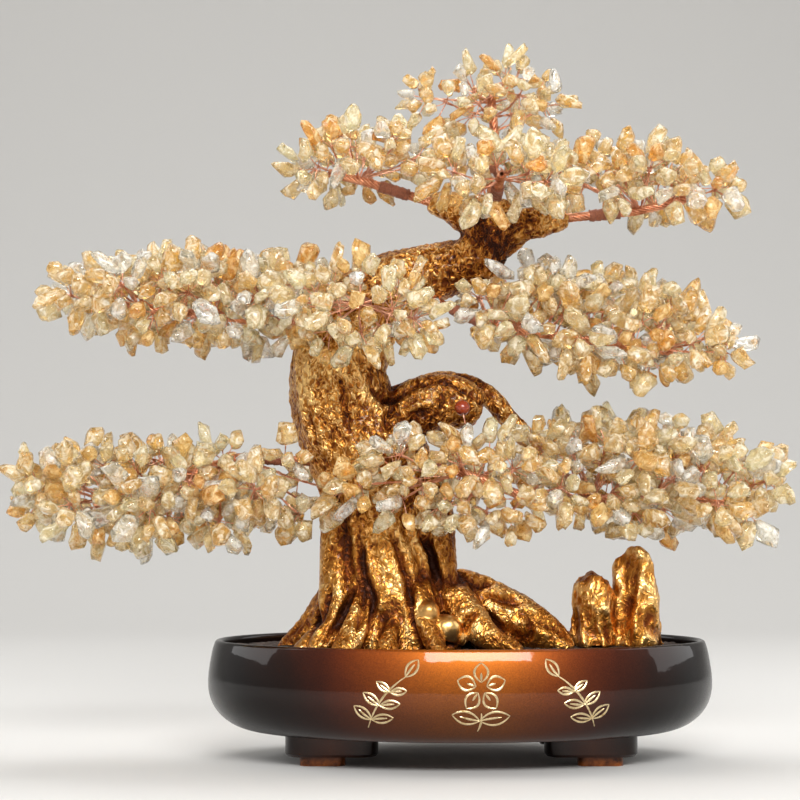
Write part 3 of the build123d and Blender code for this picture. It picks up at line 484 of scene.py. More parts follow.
def merged_copy(node):
    """A copy of a solid's skin with its loose triangles joined."""
    work = bmesh.new()
    work.from_mesh(frame["nodes"][node].data)
    bmesh.ops.remove_doubles(work, verts=work.verts, dist=JOIN_SPACE)
    return work


def finished_mesh(piece):
    """The mesh that a piece's modifiers give, with the modifiers taken off."""
    graph = bpy.context.evaluated_depsgraph_get()
    mesh = bpy.data.meshes.new_from_object(piece.evaluated_get(graph))
    piece.modifiers.clear()
    piece.data = mesh
    return mesh


def recast(name, node, voxel, passes, balls=()):
    """A solid's skin as one even mesh, its steps and seams softened, with balls run into it."""
    work = merged_copy(node)
    for middle, radius in balls:
        bmesh.ops.create_icosphere(work, subdivisions=BALL_FINENESS, radius=radius,
                                   matrix=Matrix.Translation(middle))
    mesh = bpy.data.meshes.new(name)
    work.to_mesh(mesh)
    work.free()
    piece = new_piece(name, mesh)
    even = piece.modifiers.new("even", "REMESH")
    even.mode = "VOXEL"
    even.voxel_size = voxel
    even.use_smooth_shade = True
    soften = piece.modifiers.new("soften", "SMOOTH")
    soften.iterations = passes
    finished_mesh(piece)
    return piece


def points_of(mesh, field="co"):
    """The points of a mesh as rows, or the normal at each."""
    flat = np.zeros(len(mesh.vertices) * 3)
    mesh.vertices.foreach_get(field, flat)
    return flat.reshape(-1, 3)


def set_points(mesh, points):
    """Move the points of a mesh."""
    mesh.vertices.foreach_set("co", points.ravel())
    mesh.update()


def carry(mesh, name, values):
    """Let a mesh carry a value at each point."""
    mesh.attributes.new(name, "FLOAT", "POINT").data.foreach_set("value", values.astype(np.float32))


def lumps(points, size, shift):
    """Noise from about -1 to 1 at each point."""
    return np.array([noise.noise(point) for point in (points / size + shift).tolist()])


soil = recast("soil_crust", "soil_bed", SOIL_VOXEL, SOIL_PASSES)
soil_points = points_of(soil.data)
upper = soil_points[:, 2] > SOIL_TOP - SOIL_EDGE
grit = lumps(soil_points, GRIT_SIZE, 3.0) + GRIT_FINE_SHARE * lumps(soil_points, GRIT_FINE_SIZE, 9.0)
swell = lumps(soil_points, SOIL_SWELL_SIZE, 1.0)
soil_points[upper, 2] += SOIL_LUMP * (grit + swell)[upper]
set_points(soil.data, soil_points)
earth = Finish("glued_soil", {"Roughness": 0.85})
grains = earth.cells(earth.place, GRIT_FINE_SIZE)
tone = earth.noise(earth.place, 0.0040, detail=6.0, rough=0.75)
earth.feed({
    "Base Color": earth.ramp(tone, (0.34, SOIL_DARK), (0.56, SOIL_MID), (0.72, SOIL_PALE)),
    "Normal": earth.bump(grains, 0.0006, earth.bump(tone, 0.0006)),
})
dress(soil, earth)
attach(soil, "base")
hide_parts("soil_bed")

# Trunk: one resin casting, gilded over dark brown and rubbed back, so that its wrinkled bark shows gold
# on every ridge and brown in every groove. The bark flows along each limb, round it in a slow twist.
TRUNK_VOXEL = 0.00093
TRUNK_PASSES = 12
SWAY = 0.045
RISE = 0.200
GIRTH = 0.030
# Places along each limb: x and y as shares of SWAY, height over the soil of RISE, radius of GIRTH
LIMBS = (
    ((-0.06, 0.00, -0.02, 1.24), (-0.11, 0.00, 0.09, 1.04), (-0.155, 0.00, 0.20, 0.95),
     (-0.19, 0.02, 0.31, 0.93), (-0.28, 0.02, 0.41, 0.90), (-0.48, 0.00, 0.50, 0.83),
     (-0.60, -0.04, 0.58, 0.77), (-0.60, -0.06, 0.65, 0.73), (-0.48, -0.04, 0.715, 0.69),
     (-0.28, 0.02, 0.78, 0.61), (-0.02, 0.06, 0.824, 0.52), (0.32, 0.06, 0.848, 0.45),
     (0.63, 0.02, 0.865, 0.43), (0.83, 0.00, 0.90, 0.45), (0.90, 0.00, 0.945, 0.46),
     (0.92, 0.00, 0.98, 0.42), (0.92, 0.00, 1.012, 0.30)),
    ((0.90, 0.00, 0.93, 0.42), (0.78, -0.01, 0.962, 0.36), (0.62, -0.03, 0.985, 0.28),
     (0.45, -0.05, 1.00, 0.20), (0.30, -0.06, 1.008, 0.13)),
    ((0.92, 0.00, 0.925, 0.44), (1.08, 0.01, 0.948, 0.37), (1.28, 0.03, 0.958, 0.29),
     (1.50, 0.03, 0.966, 0.21), (1.70, 0.03, 0.974, 0.13)),
    ((-0.36, -0.02, 0.465, 0.40), (-0.02, -0.06, 0.515, 0.44), (0.28, -0.08, 0.545, 0.45),
     (0.54, -0.07, 0.55, 0.41), (0.78, -0.04, 0.525, 0.28)),
    ((-0.10, 0.00, 0.57, 0.15), (0.26, 0.00, 0.595, 0.17), (0.55, 0.02, 0.598, 0.18),
     (0.83, 0.05, 0.575, 0.18), (1.06, 0.09, 0.53, 0.17), (1.26, 0.12, 0.478, 0.16),
     (1.40, 0.14, 0.435, 0.15)),
    ((0.28, -0.20, 0.43, 0.20), (0.38, -0.28, 0.31, 0.23), (0.41, -0.31, 0.20, 0.24),
     (0.54, -0.33, 0.10, 0.24), (0.86, -0.36, 0.03, 0.20), (1.20, -0.40, -0.03, 0.14)),
    ((-0.42, -0.10, 0.42, 0.18), (-0.58, -0.28, 0.31, 0.26), (-0.58, -0.34, 0.18, 0.29),
     (-0.62, -0.42, 0.08, 0.28), (-0.74, -0.56, 0.01, 0.24), (-0.82, -0.66, -0.04, 0.18)),
    ((0.40, -0.05, 0.12, 0.40), (0.85, -0.08, 0.095, 0.41), (1.20, -0.14, 0.055, 0.38),
     (1.48, -0.22, 0.022, 0.28), (1.66, -0.32, -0.01, 0.16)),
)
ROOT_REACH = 0.060
ROOT_RISE = 0.046
ROOT_GIRTH = 0.009
# Each root's bearing in degrees, and its own shares of reach, rise and girth
ROOTS = (
    (182, 0.90, 1.00, 1.00), (208, 0.86, 0.80, 0.90), (236, 0.80, 0.90, 1.00), (262, 0.74, 0.70, 0.85),
    (292, 0.80, 0.85, 1.00), (326, 1.05, 0.75, 0.95), (2, 1.00, 0.60, 1.10), (38, 1.00, 0.80, 0.95),
    (72, 0.84, 0.90, 1.00), (105, 0.80, 0.70, 0.90), (140, 0.86, 0.95, 1.00),
)
# Places along a root, as shares of its reach, rise and girth
ROOT_PATH = (
    (0.12, 1.00, 1.00), (0.46, 0.62, 1.00), (0.72, 0.20, 0.80), (0.90, 0.02, 0.60), (1.04, -0.10, 0.34),
)
LIMB_STEPS = 6
LIMB_HINT = (0.30, 0.86, 0.41)
GRAIN_SHIFT = 0.37
BARK_TWIST = 14.0
GROOVE_TOP, GROOVE_SPAN, GROOVE_LEAST = 0.190, 0.120, 0.60
GROOVE_DEPTH = 0.0038
WRINKLE_DEPTH = 0.0009
CREASE_DEPTH = 0.0014
CREASE_WIDTH = 0.0020
BARK_PROUD = 0.0012
# Middle and radius of each knot
ROOT_KNOTS = (((0.0210, -0.0305, 0.0605), 0.0060), ((0.0125, -0.0320, 0.0676), 0.0048))
KNOT_EDGE, KNOT_FADE = 0.0002, 0.0012
NET_LOW, NET_HIGH, NET_LEAST = 0.068, 0.115, 0.50
GRAIN_EVENING = 5
VALLEY_WIDE, VALLEY_LONG, VALLEY_SHARP, VALLEY_CALM = 0.0130, 0.070, 3.6, 0.45
SWELL_SIZE = (0.014, 0.014, 0.050)
WRINKLES = ((0.60, 0.0040, 0.0052, 2.0), (0.40, 0.0024, 0.0028, 7.0))
WRINKLE_MEAN = 0.45
WRINKLE_LEAST = 0.35
BURL_MIDDLE = (0.018, 0.155)
BURL_REACH = 0.030
BURL_FADE = 1.6
BURL_SHADE = 0.13
# Heights on the trunk, and how much brighter or darker the gold is at each
GOLD_SHIFT_BY_HEIGHT = ((0.055, 0.070, 0.082, 0.115, 0.130), (0.06, 0.04, -0.07, -0.07, 0.0))
# Places (x, z) along each long fold of the bark, as seen from the front
LONG_FOLDS = (
    ((-0.0315, 0.1767), (-0.0279, 0.1709), (-0.0243, 0.1651), (-0.0254, 0.1578), (-0.0236, 0.1498),
     (-0.0177, 0.1396)),
    ((-0.0090, 0.1796), (-0.0130, 0.1724), (-0.0126, 0.1651), (-0.0068, 0.1600), (-0.0003, 0.1621),
     (0.0070, 0.1672), (0.0165, 0.1698), (0.0259, 0.1672), (0.0339, 0.1614), (0.0412, 0.1549)),
    ((-0.0025, 0.1592), (-0.0057, 0.1527), (-0.0054, 0.1454)),
    ((0.0026, 0.1483), (0.0070, 0.1542), (0.0150, 0.1571)),
    ((-0.0417, 0.1600), (-0.0399, 0.1513), (-0.0359, 0.1396)),
    ((-0.0189, 0.1063), (-0.0172, 0.0941), (-0.0158, 0.0837), (-0.0119, 0.0716), (-0.0128, 0.0577)),
    ((-0.0085, 0.1115), (-0.0015, 0.0959), (0.0028, 0.0820), (0.0050, 0.0699), (0.0050, 0.0568)),
    ((0.0072, 0.1115), (0.0097, 0.0994), (0.0141, 0.0924), (0.0167, 0.0820), (0.0193, 0.0750)),
    ((-0.0293, 0.0803), (-0.0336, 0.0681), (-0.0397, 0.0568)),
    ((-0.0206, 0.0759), (-0.0258, 0.0655), (-0.0327, 0.0542)),
    ((-0.0158, 0.0803), (-0.0163, 0.0681), (-0.0197, 0.0560)),
    ((0.0280, 0.0820), (0.0358, 0.0772), (0.0436, 0.0785)),
    ((0.0375, 0.0742), (0.0470, 0.0716), (0.0566, 0.0699)),
    ((0.0384, 0.0681), (0.0427, 0.0612), (0.0497, 0.0525)),
    ((0.0566, 0.0646), (0.0583, 0.0577), (0.0548, 0.0525)),
    ((0.0262, 0.0560), (0.0297, 0.0629), (0.0349, 0.0681)),
)
FOLD_WIDTH = 0.0015
FOLD_DEPTH = 0.0024
FOLD_LIP = 0.0007
FOLD_RUN_OUT = 0.30
FOLD_WAVER, FOLD_WAVER_SIZE = 0.0011, 0.0070
FOLD_LIP_PLACE = 2.2
FOLD_END = 1.3
SIDE_FADE = 1.6
GOLD_BRIGHT = (0.96, 0.62, 0.230)
GOLD_MID = (0.56, 0.230, 0.036)
BARK_BROWN = (0.170, 0.038, 0.005)
BARK_DARK = (0.030, 0.006, 0.001)


def limb_line(places):
    """The middles and radii of a limb, smoothed through its places."""
    places = np.array(places)
    padded = np.vstack((2 * places[0] - places[1], places, 2 * places[-1] - places[-2]))
    rows = []
    for before, start, end, after in zip(padded, padded[1:], padded[2:], padded[3:]):
        for share in np.arange(LIMB_STEPS) / LIMB_STEPS:
            bend = (2 * start + (end - before) * share
                    + (2 * before - 5 * start + 4 * end - after) * share ** 2
                    + (3 * start - before - 3 * end + after) * share ** 3) / 2
            rows.append(bend)
    rows.append(places[-1])
    return np.array(rows)


limb_lines = []
for limb in LIMBS:
    limb_lines.append(limb_line([(sway * SWAY, depth * SWAY, SOIL_TOP + height * RISE, girth * GIRTH)
                                 for sway, depth, height, girth in limb]))
for bearing, reach, rise, girth in ROOTS:
    angle = math.radians(bearing)
    run_x = math.cos(angle) * ROOT_REACH * reach
    run_y = math.sin(angle) * ROOT_REACH * reach
    limb_lines.append(limb_line([(run_x * out, run_y * out, SOIL_TOP + ROOT_RISE * rise * up,
                                  ROOT_GIRTH * girth * thick) for out, up, thick in ROOT_PATH]))


def grain_along(points, line, offset):
    """Each point's space from a limb, and its place in grain: two ways across and one along the limb."""
    starts, runs = line[:-1, :3], np.diff(line[:, :3], axis=0)
    spans = norm(runs, axis=1)
    ways = runs / spans[:, None]
    along = np.concatenate(((0.0,), np.cumsum(spans)))
    first = np.cross(ways[0], LIMB_HINT)
    sides = []
    for way in ways:
        first = first - way * (first @ way)
        first = first / norm(first)
        sides.append(first)
    sides = np.array(sides)
    offsets = points[:, None, :] - starts[None, :, :]
    shares = np.clip((offsets * ways).sum(axis=2) / spans, 0.0, 1.0)
    radial = offsets - (shares * spans)[:, :, None] * ways
    reach = norm(radial, axis=2)
    spaces = reach - (line[:-1, 3] + np.diff(line[:, 3]) * shares)
    best = spaces.argmin(axis=1)
    rows = np.arange(len(points))
    spoke, side, way = radial[rows, best], sides[best], ways[best]
    length = along[best] + shares[rows, best] * spans[best]
    across = (spoke * side).sum(axis=1)
    other = (spoke * np.cross(way, side)).sum(axis=1)
    turn = length * BARK_TWIST
    grain = np.column_stack((across * np.cos(turn) - other * np.sin(turn),
                             across * np.sin(turn) + other * np.cos(turn), length))
    return spaces[rows, best], grain + offset


def bark_grain(points):
    """For each point, its place in the grain of the nearest limb, and its space to the next limb."""
    found = [grain_along(points, line, index * GRAIN_SHIFT) for index, line in enumerate(limb_lines)]
    spaces, grains = map(np.array, zip(*found))
    order = np.argsort(spaces, axis=0)
    rows = np.arange(len(points))
    gap = spaces[order[1], rows] - spaces[order[0], rows]
    return grains[order[0], rows], gap


def folds(grain, wide, long, shift, sharp=2.6):
    """Sharp folds from 0 to 1, drawn out along the grain."""
    values = lumps(grain / np.array((wide, wide, long)), 1.0, shift)
    return np.clip(1 - np.abs(values) * sharp, 0, 1)


def evened(mesh, values, passes):
    """Values at each point of a mesh, evened out along its edges."""
    ends = np.zeros(len(mesh.edges) * 2, dtype=np.int64)
    mesh.edges.foreach_get("vertices", ends)
    starts, ends = ends.reshape(-1, 2).T
    count = len(values)
    shares = np.bincount(starts, minlength=count) + np.bincount(ends, minlength=count) + 1
    for turn in range(passes):
        total = np.bincount(starts, values[ends], count) + np.bincount(ends, values[starts], count)
        values = (total + values) / shares
    return values


def fold_space(points, line):
    """How far each point lies from a line of (x, z) places that runs out at its ends."""
    flat = points[:, (0, 2)]
    places = np.array(line)
    nearest = np.full(len(flat), 1.0)
    for number, (start, end) in enumerate(zip(places[:-1], places[1:])):
        run = end - start
        along = np.clip((flat - start) @ run / (run @ run), 0, 1)
        share = (number + along) / (len(places) - 1)
        shallow = np.clip(1 - np.minimum(share, 1 - share) / FOLD_RUN_OUT, 0, 1) * FOLD_WIDTH * FOLD_END
        space = norm(flat - start - along[:, None] * run, axis=1)
        nearest = np.minimum(nearest, space + shallow)
    return nearest


trunk = recast("trunk_bark", "trunk", TRUNK_VOXEL, TRUNK_PASSES, ROOT_KNOTS)
bark_points = points_of(trunk.data)
grain, gap = bark_grain(bark_points)
low_share = np.clip((GROOVE_TOP - bark_points[:, 2]) / GROOVE_SPAN, GROOVE_LEAST, 1.0)
net = np.clip((bark_points[:, 2] - NET_LOW) / (NET_HIGH - NET_LOW), NET_LEAST, 1.0)
knots = np.zeros(len(bark_points))
for middle, radius in ROOT_KNOTS:
    space = norm(bark_points - middle, axis=1) - radius
    knots = np.maximum(knots, np.clip(1 - (space - KNOT_EDGE) / KNOT_FADE, 0, 1))
plain = 1 - knots
facing = np.clip(SIDE_FADE * np.abs(points_of(trunk.data, "normal")[:, 1]), 0, 1) * plain
waver = [lumps(bark_points, FOLD_WAVER_SIZE, shift) for shift in (21.0, 22.0, 23.0)]
waver = np.stack(waver, axis=1) * FOLD_WAVER
space = np.min([fold_space(bark_points + waver, line) for line in LONG_FOLDS], axis=0)
fold = np.exp(-(space / FOLD_WIDTH) ** 2) * facing
lip = np.exp(-((space - FOLD_LIP_PLACE * FOLD_WIDTH) / FOLD_WIDTH) ** 2) * facing
valleys = folds(grain, VALLEY_WIDE, VALLEY_LONG, 5.0, VALLEY_SHARP)
valleys = evened(trunk.data, valleys, GRAIN_EVENING) * plain * (1 - VALLEY_CALM * facing)
swell = evened(trunk.data, lumps(grain / np.array(SWELL_SIZE), 1.0, 11.0), GRAIN_EVENING) * plain
wrinkles = sum(share * folds(bark_points, wide, long, shift) for share, wide, long, shift in WRINKLES)
wrinkled = (WRINKLE_LEAST + (1 - WRINKLE_LEAST) * net) * plain
wrinkles = WRINKLE_MEAN + (wrinkles - WRINKLE_MEAN) * wrinkled
# Creases where limbs and roots meet: cut into the surface, and painted shade in the colour below
crease = np.exp(-(gap / CREASE_WIDTH) ** 2) * plain
burl = norm(bark_points[:, (0, 2)] - BURL_MIDDLE, axis=1)
burl = np.clip(BURL_FADE * (1 - burl / BURL_REACH), 0, 1)
height = GROOVE_DEPTH * low_share * (0.26 * plain + 0.45 * swell - valleys)
height += WRINKLE_DEPTH * (wrinkles - WRINKLE_MEAN)
height = np.minimum(height - CREASE_DEPTH * crease + FOLD_LIP * lip, BARK_PROUD) - FOLD_DEPTH * fold
set_points(trunk.data, bark_points + points_of(trunk.data, "normal") * height[:, None])
# Colour relief: gold on ridges and brown in grooves, with painted shade in the creases where limbs and
# roots meet and on the burl, and the gold shifted by height
relief = 0.49 + 0.40 * wrinkles + 0.30 * swell - 0.42 * valleys * low_share - 0.38 * crease
relief += 0.16 * knots + 0.10 * lip - 0.38 * fold - BURL_SHADE * burl
relief += np.interp(bark_points[:, 2], *GOLD_SHIFT_BY_HEIGHT)
carry(trunk.data, "net", net * plain)
carry(trunk.data, "relief", np.clip(relief, 0, 1))


def gilded(name):
    """Gold leaf over brown, worn back: bright on ridges, brown in grooves, finely wrinkled."""
    made = Finish(name, {"Coat Roughness": 0.10, "Specular IOR Level": 0.20})
    relief = made.attribute("relief", "Fac")
    fine = made.noise(made.stretch(made.place, (1.0, 1.0, 0.78)), 0.0024, detail=1.0, rough=0.5, swirl=0.7)
    ridges = made.maths("SUBTRACT", 1.0, made.maths("ABSOLUTE", made.span(fine, 0.32, 0.68, -1.0, 1.0)))
    crimp = made.maths("POWER", ridges, 1.4)
    net = made.attribute("net", "Fac")
    shown = made.mix(net, (0.5, 0.5, 0.5), crimp)
    height = made.maths("ADD", made.maths("MULTIPLY", relief, 0.68), made.maths("MULTIPLY", shown, 0.32))
    patina = made.noise(made.place, 0.014, detail=4.0)
    height = made.maths("ADD", height, made.span(patina, 0.3, 0.7, -0.09, 0.09))
    colour = made.ramp(height, (0.20, BARK_DARK), (0.38, BARK_BROWN), (0.58, GOLD_MID), (0.80, GOLD_BRIGHT))
    made.feed({
        "Base Color": colour,
        "Metallic": made.span(height, 0.20, 0.50, 0.45, 1.0),
        "Roughness": made.span(height, 0.25, 0.70, 0.50, 0.31),
        "Coat Weight": made.span(height, 0.30, 0.65, 0.02, 0.25),
        "Normal": made.bump(shown, 0.00055),
    })
    return made


dress(trunk, gilded("antique_gold_bark"))
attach(trunk, "base")
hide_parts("trunk")

# Rock: a small scholar's rock with two peaks, cast in resin and gilded like the trunk, with rougher lumps
# and no bark. It is glued into the soil at the tray's right.
ROCK_VOXEL = 0.0007
ROCK_PASSES = 14
ROCK_UPRIGHT = (1.0, 1.0, 0.55)
ROCK_FOLDS = ((0.65, 0.0100, 4.0), (0.35, 0.0042, 8.0))
ROCK_LUMP_SIZE = 0.0095
ROCK_LUMP = 0.0024
ROCK_RELIEF = 0.0016
ROCK_NET = 0.35

rock = recast("rock_gilded", "rock", ROCK_VOXEL, ROCK_PASSES)
rock_points = points_of(rock.data)
upright = rock_points * np.array(ROCK_UPRIGHT)
rugged = sum(share * folds(upright, size, size, shift) for share, size, shift in ROCK_FOLDS)
broken = lumps(upright, ROCK_LUMP_SIZE, 6.0)
rock_height = ROCK_RELIEF * (rugged - 0.5) + ROCK_LUMP * broken
set_points(rock.data, rock_points + points_of(rock.data, "normal") * rock_height[:, None])
carry(rock.data, "relief", np.clip(0.34 + 0.50 * rugged + 0.25 * broken, 0, 1))
carry(rock.data, "net", np.full(len(rock_points), ROCK_NET))
dress(rock, gilded("antique_gold_rock"))
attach(rock, "base")
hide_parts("rock")

# Stems: each bough's trunk of copper wires, laid up in one twisted bundle. The end of the bundle is a peg
# that is glued into the trunk, and the bundle bends by hand just outside it.
STEM_STRANDS = 7
STEM_LAY = 0.00142
STEM_GAUGE = 0.00068
STEM_SIDES = 6
STEM_STEP = 0.0013
STEM_BEND = 0.012
STEM_BEND_STEPS = 6
STEM_FIRST = 0.026
STEM_TIP = 0.0006
STRAIGHT_STEMS = ("crown_front", "mid_front")
PEG_BACK = 0.0066
TURN_PER_GAUGE = 26.0
COPPER_BRIGHT = (0.86, 0.43, 0.26)
COPPER_DARK = (0.40, 0.14, 0.070)
STEM_LEAVES = {
    "crown_left": (-1.0, -0.10, 0.30), "crown_right": (1.0, 0.05, 0.10), "crown_top": (0.06, 0.05, 1.0),
    "crown_front": (0.05, -1.0, 0.22), "mid_left": (-1.0, -0.10, 0.10), "mid_right": (0.80, -0.30, -0.40),
    "mid_front": (-0.10, -1.0, -0.10), "low_left": (-1.0, -0.12, 0.06), "low_right": (0.70, 0.10, -0.60),
    "low_front": (0.62, -0.80, -0.04),
}
stem_routes = {}
for joint in frame["joints"]:
    bough = joint["name"].removesuffix("_bend")
    leave = np.array(STEM_LEAVES[bough])
    stem_routes[bough] = (leave / norm(leave), np.array(joint["pos_m"]))


def twisted_wire_tree():
    """A tree that lays up round strands along each run of edges. Points carry the lay and the gauge."""
    tree = bpy.data.node_groups.new("twisted_wire", "GeometryNodeTree")
    sockets = {}
    tree.interface.new_socket("Geometry", in_out="INPUT", socket_type="NodeSocketGeometry")
    for name, kind in (("Strands", "Int"), ("Sides", "Int"), ("Step", "Float"), ("Bend radius", "Float"),
                       ("Turn per gauge", "Float"), ("Metal", "Material")):
        socket = tree.interface.new_socket(name, in_out="INPUT", socket_type="NodeSocket" + kind)
        sockets[name] = socket.identifier
    tree.interface.new_socket("Geometry", in_out="OUTPUT", socket_type="NodeSocketGeometry")

    def add(kind, inputs, **settings):
        return add_node(tree, kind, inputs, **settings)

    def maths(step, first, second):
        return add("ShaderNodeMath", {0: first, 1: second}, operation=step).outputs["Value"]

    def arrow(step, first, second):
        inputs = {0: first, "Scale" if step == "SCALE" else 1: second}
        return add("ShaderNodeVectorMath", inputs, operation=step).outputs["Vector"]

    def carried(name):
        inputs = {"Name": name}
        return add("GeometryNodeInputNamedAttribute", inputs, data_type="FLOAT").outputs["Attribute"]

    enter = tree.nodes.new("NodeGroupInput").outputs
    line = add("GeometryNodeMeshToCurve", {"Mesh": enter["Geometry"]}).outputs["Curve"]
    bent = add("GeometryNodeFilletCurve", {"Curve": line, "Radius": enter["Bend radius"],
                                           "Count": STEM_BEND_STEPS, "Limit Radius": True}, mode="POLY")
    even = add("GeometryNodeResampleCurve", {"Curve": bent.outputs["Curve"], "Length": enter["Step"]},
               mode="LENGTH").outputs["Curve"]
    lay = carried("lay")
    gauge = carried("gauge")
    copies = add("GeometryNodeDuplicateElements", {"Geometry": even, "Amount": enter["Strands"]},
                 domain="SPLINE")
    share = maths("DIVIDE", copies.outputs["Duplicate Index"], enter["Strands"])
    length = add("GeometryNodeSplineParameter", {}).outputs["Length"]
    turns = maths("DIVIDE", length, maths("MULTIPLY", gauge, enter["Turn per gauge"]))
    angle = maths("MULTIPLY", maths("ADD", share, turns), 2 * math.pi)
    normal = add("GeometryNodeInputNormal", {}).outputs["Normal"]
    tangent = add("GeometryNodeInputTangent", {}).outputs["Tangent"]
    other = arrow("CROSS_PRODUCT", tangent, normal)
    spoke = arrow("ADD", arrow("SCALE", normal, maths("COSINE", angle, 0.0)),
                  arrow("SCALE", other, maths("SINE", angle, 0.0)))
    moved = add("GeometryNodeSetPosition", {"Geometry": copies.outputs["Geometry"],
                                            "Offset": arrow("SCALE", spoke, lay)}).outputs["Geometry"]
    ring = add("GeometryNodeCurvePrimitiveCircle", {"Resolution": enter["Sides"], "Radius": 1.0})
    skin = add("GeometryNodeCurveToMesh", {"Curve": moved, "Profile Curve": ring.outputs["Curve"],
                                           "Scale": gauge, "Fill Caps": True}).outputs["Mesh"]
    round_skin = add("GeometryNodeSetShadeSmooth", {"Geometry": skin}).outputs["Geometry"]
    real = add("GeometryNodeRealizeInstances", {"Geometry": round_skin}).outputs["Geometry"]
    coated = add("GeometryNodeSetMaterial", {"Geometry": real, "Material": enter["Metal"]})
    add("NodeGroupOutput", {"Geometry": coated.outputs["Geometry"]})
    return tree, sockets


WIRE_TREE, WIRE_SOCKETS = twisted_wire_tree()


def twisted(name, runs, strands, sides, step, finish):
    """A piece of twisted wire. Each run is its points with the lay and gauge of its strands."""
    points, edges, lays, gauges = [], [], [], []
    for run, lay, gauge in runs:
        first = len(points)
        points += [tuple(point) for point in run]
        edges += [(first + index, first + index + 1) for index in range(len(run) - 1)]
        lays += [lay] * len(run)
        gauges += [gauge] * len(run)
    mesh = bpy.data.meshes.new(name)
    mesh.from_pydata(points, edges, [])
    carry(mesh, "lay", np.array(lays))
    carry(mesh, "gauge", np.array(gauges))
    piece = new_piece(name, mesh)
    layer = piece.modifiers.new("twist", "NODES")
    layer.node_group = WIRE_TREE
    for socket, value in (("Strands", strands), ("Sides", sides), ("Step", step),
                          ("Bend radius", STEM_BEND), ("Turn per gauge", TURN_PER_GAUGE),
                          ("Metal", finish.material)):
        layer[WIRE_SOCKETS[socket]] = value
    finished_mesh(piece)
    return piece


def copper_finish(name, bright, dark):
    """Copper wire, tarnished in patches and drawn fine along its length."""
    made = Finish(name, {"Metallic": 1.0})
    tarnish = made.noise(made.place, 0.006, detail=5.0, rough=0.65)
    made.feed({
        "Base Color": made.ramp(tarnish, (0.36, dark), (0.60, bright)),
        "Roughness": made.span(tarnish, 0.35, 0.65, 0.48, 0.26),
        "Normal": made.bump(made.noise(made.place, 0.0009), 0.00005),
    })
    return made


def stem_end(bough, pivot):
    """The far end of a bough's stem: the middle of its points that lie furthest from the pivot."""
    points = points_of(frame["nodes"][bough + "_stem"].data)
    spans = norm(points - pivot, axis=1)
    return points[spans > spans.max() - STEM_TIP].mean(axis=0)


stem_copper = copper_finish("stem_copper", COPPER_BRIGHT, COPPER_DARK)
dress(frame["nodes"]["stem_pegs"], stem_copper)
for bough, (leave, pivot) in stem_routes.items():
    route = [pivot - leave * PEG_BACK, pivot + leave * STEM_FIRST, stem_end(bough, pivot)]
    if bough in STRAIGHT_STEMS:
        route = [route[0], route[2]]
    stem = twisted(bough + "_stem_wires", [(route, STEM_LAY, STEM_GAUGE)], STEM_STRANDS, STEM_SIDES,
                   STEM_STEP, stem_copper)
    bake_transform(stem)
    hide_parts(bough + "_stem")

# Sleeves: brown florist's tape of waxed crepe paper, wound over each stem next to the trunk. Its turns lap
# over each other, and each lap leaves a ridge.
TAPE_START = 0.0050
TAPE_LENGTH = 0.0140
TAPE_RADIUS = 0.00245
TAPE_LAP = 0.00045
TAPE_PITCH = 0.0030
TAPE_ROUND = 28
TAPE_ROWS = 64
TAPE_CRUMPLE, TAPE_CRUMPLE_SCALE = 0.00012, 700
TAPE_HINT = (0.2, 0.4, 0.9)
TAPE_DARK = (0.190, 0.055, 0.026)
TAPE_MID = (0.380, 0.125, 0.060)

tape = Finish("brown_stem_tape", {"Roughness": 0.62, "Sheen Weight": 0.2})
crepe = tape.noise(tape.place, 0.0007, detail=5.0, rough=0.7)
tape.feed({
    "Base Color": tape.ramp(crepe, (0.32, TAPE_DARK), (0.66, TAPE_MID)),
    "Normal": tape.bump(crepe, 0.0002),
})


def square_to(way, hint):
    """Two arrows of unit length, square to a way and to each other."""
    side = np.cross(way, hint)
    side = side / norm(side)
    return side, np.cross(way, side)


def step_out(arms, angle, radius):
    """A step out from a middle, at an angle between two arms."""
    return (arms[0] * math.cos(angle) + arms[1] * math.sin(angle)) * radius


for bough, (leave, pivot) in stem_routes.items():
    arms = square_to(leave, TAPE_HINT)
    tape_points = []
    for row in range(TAPE_ROWS + 1):
        reach = TAPE_LENGTH * row / TAPE_ROWS
        for column in range(TAPE_ROUND):
            angle = 2 * math.pi * column / TAPE_ROUND
            lap = (reach / TAPE_PITCH + column / TAPE_ROUND) % 1.0
            place = (reach * TAPE_CRUMPLE_SCALE, math.cos(angle) * 2.0,
                     math.sin(angle) * 2.0 + pivot[0] * 90)
            radius = TAPE_RADIUS + TAPE_LAP * lap + TAPE_CRUMPLE * noise.noise(place)
            tape_points.append(pivot + leave * (TAPE_START + reach) + step_out(arms, angle, radius))
    tape_faces = tube_faces(0, TAPE_ROWS + 1, TAPE_ROUND)
    sleeve = new_piece(bough + "_tape", facing_out(mesh_of(bough + "_tape", tape_points, tape_faces)))
    dress(sleeve, tape)
    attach(sleeve, bough + "_bough")
    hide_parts(bough + "_sleeve")

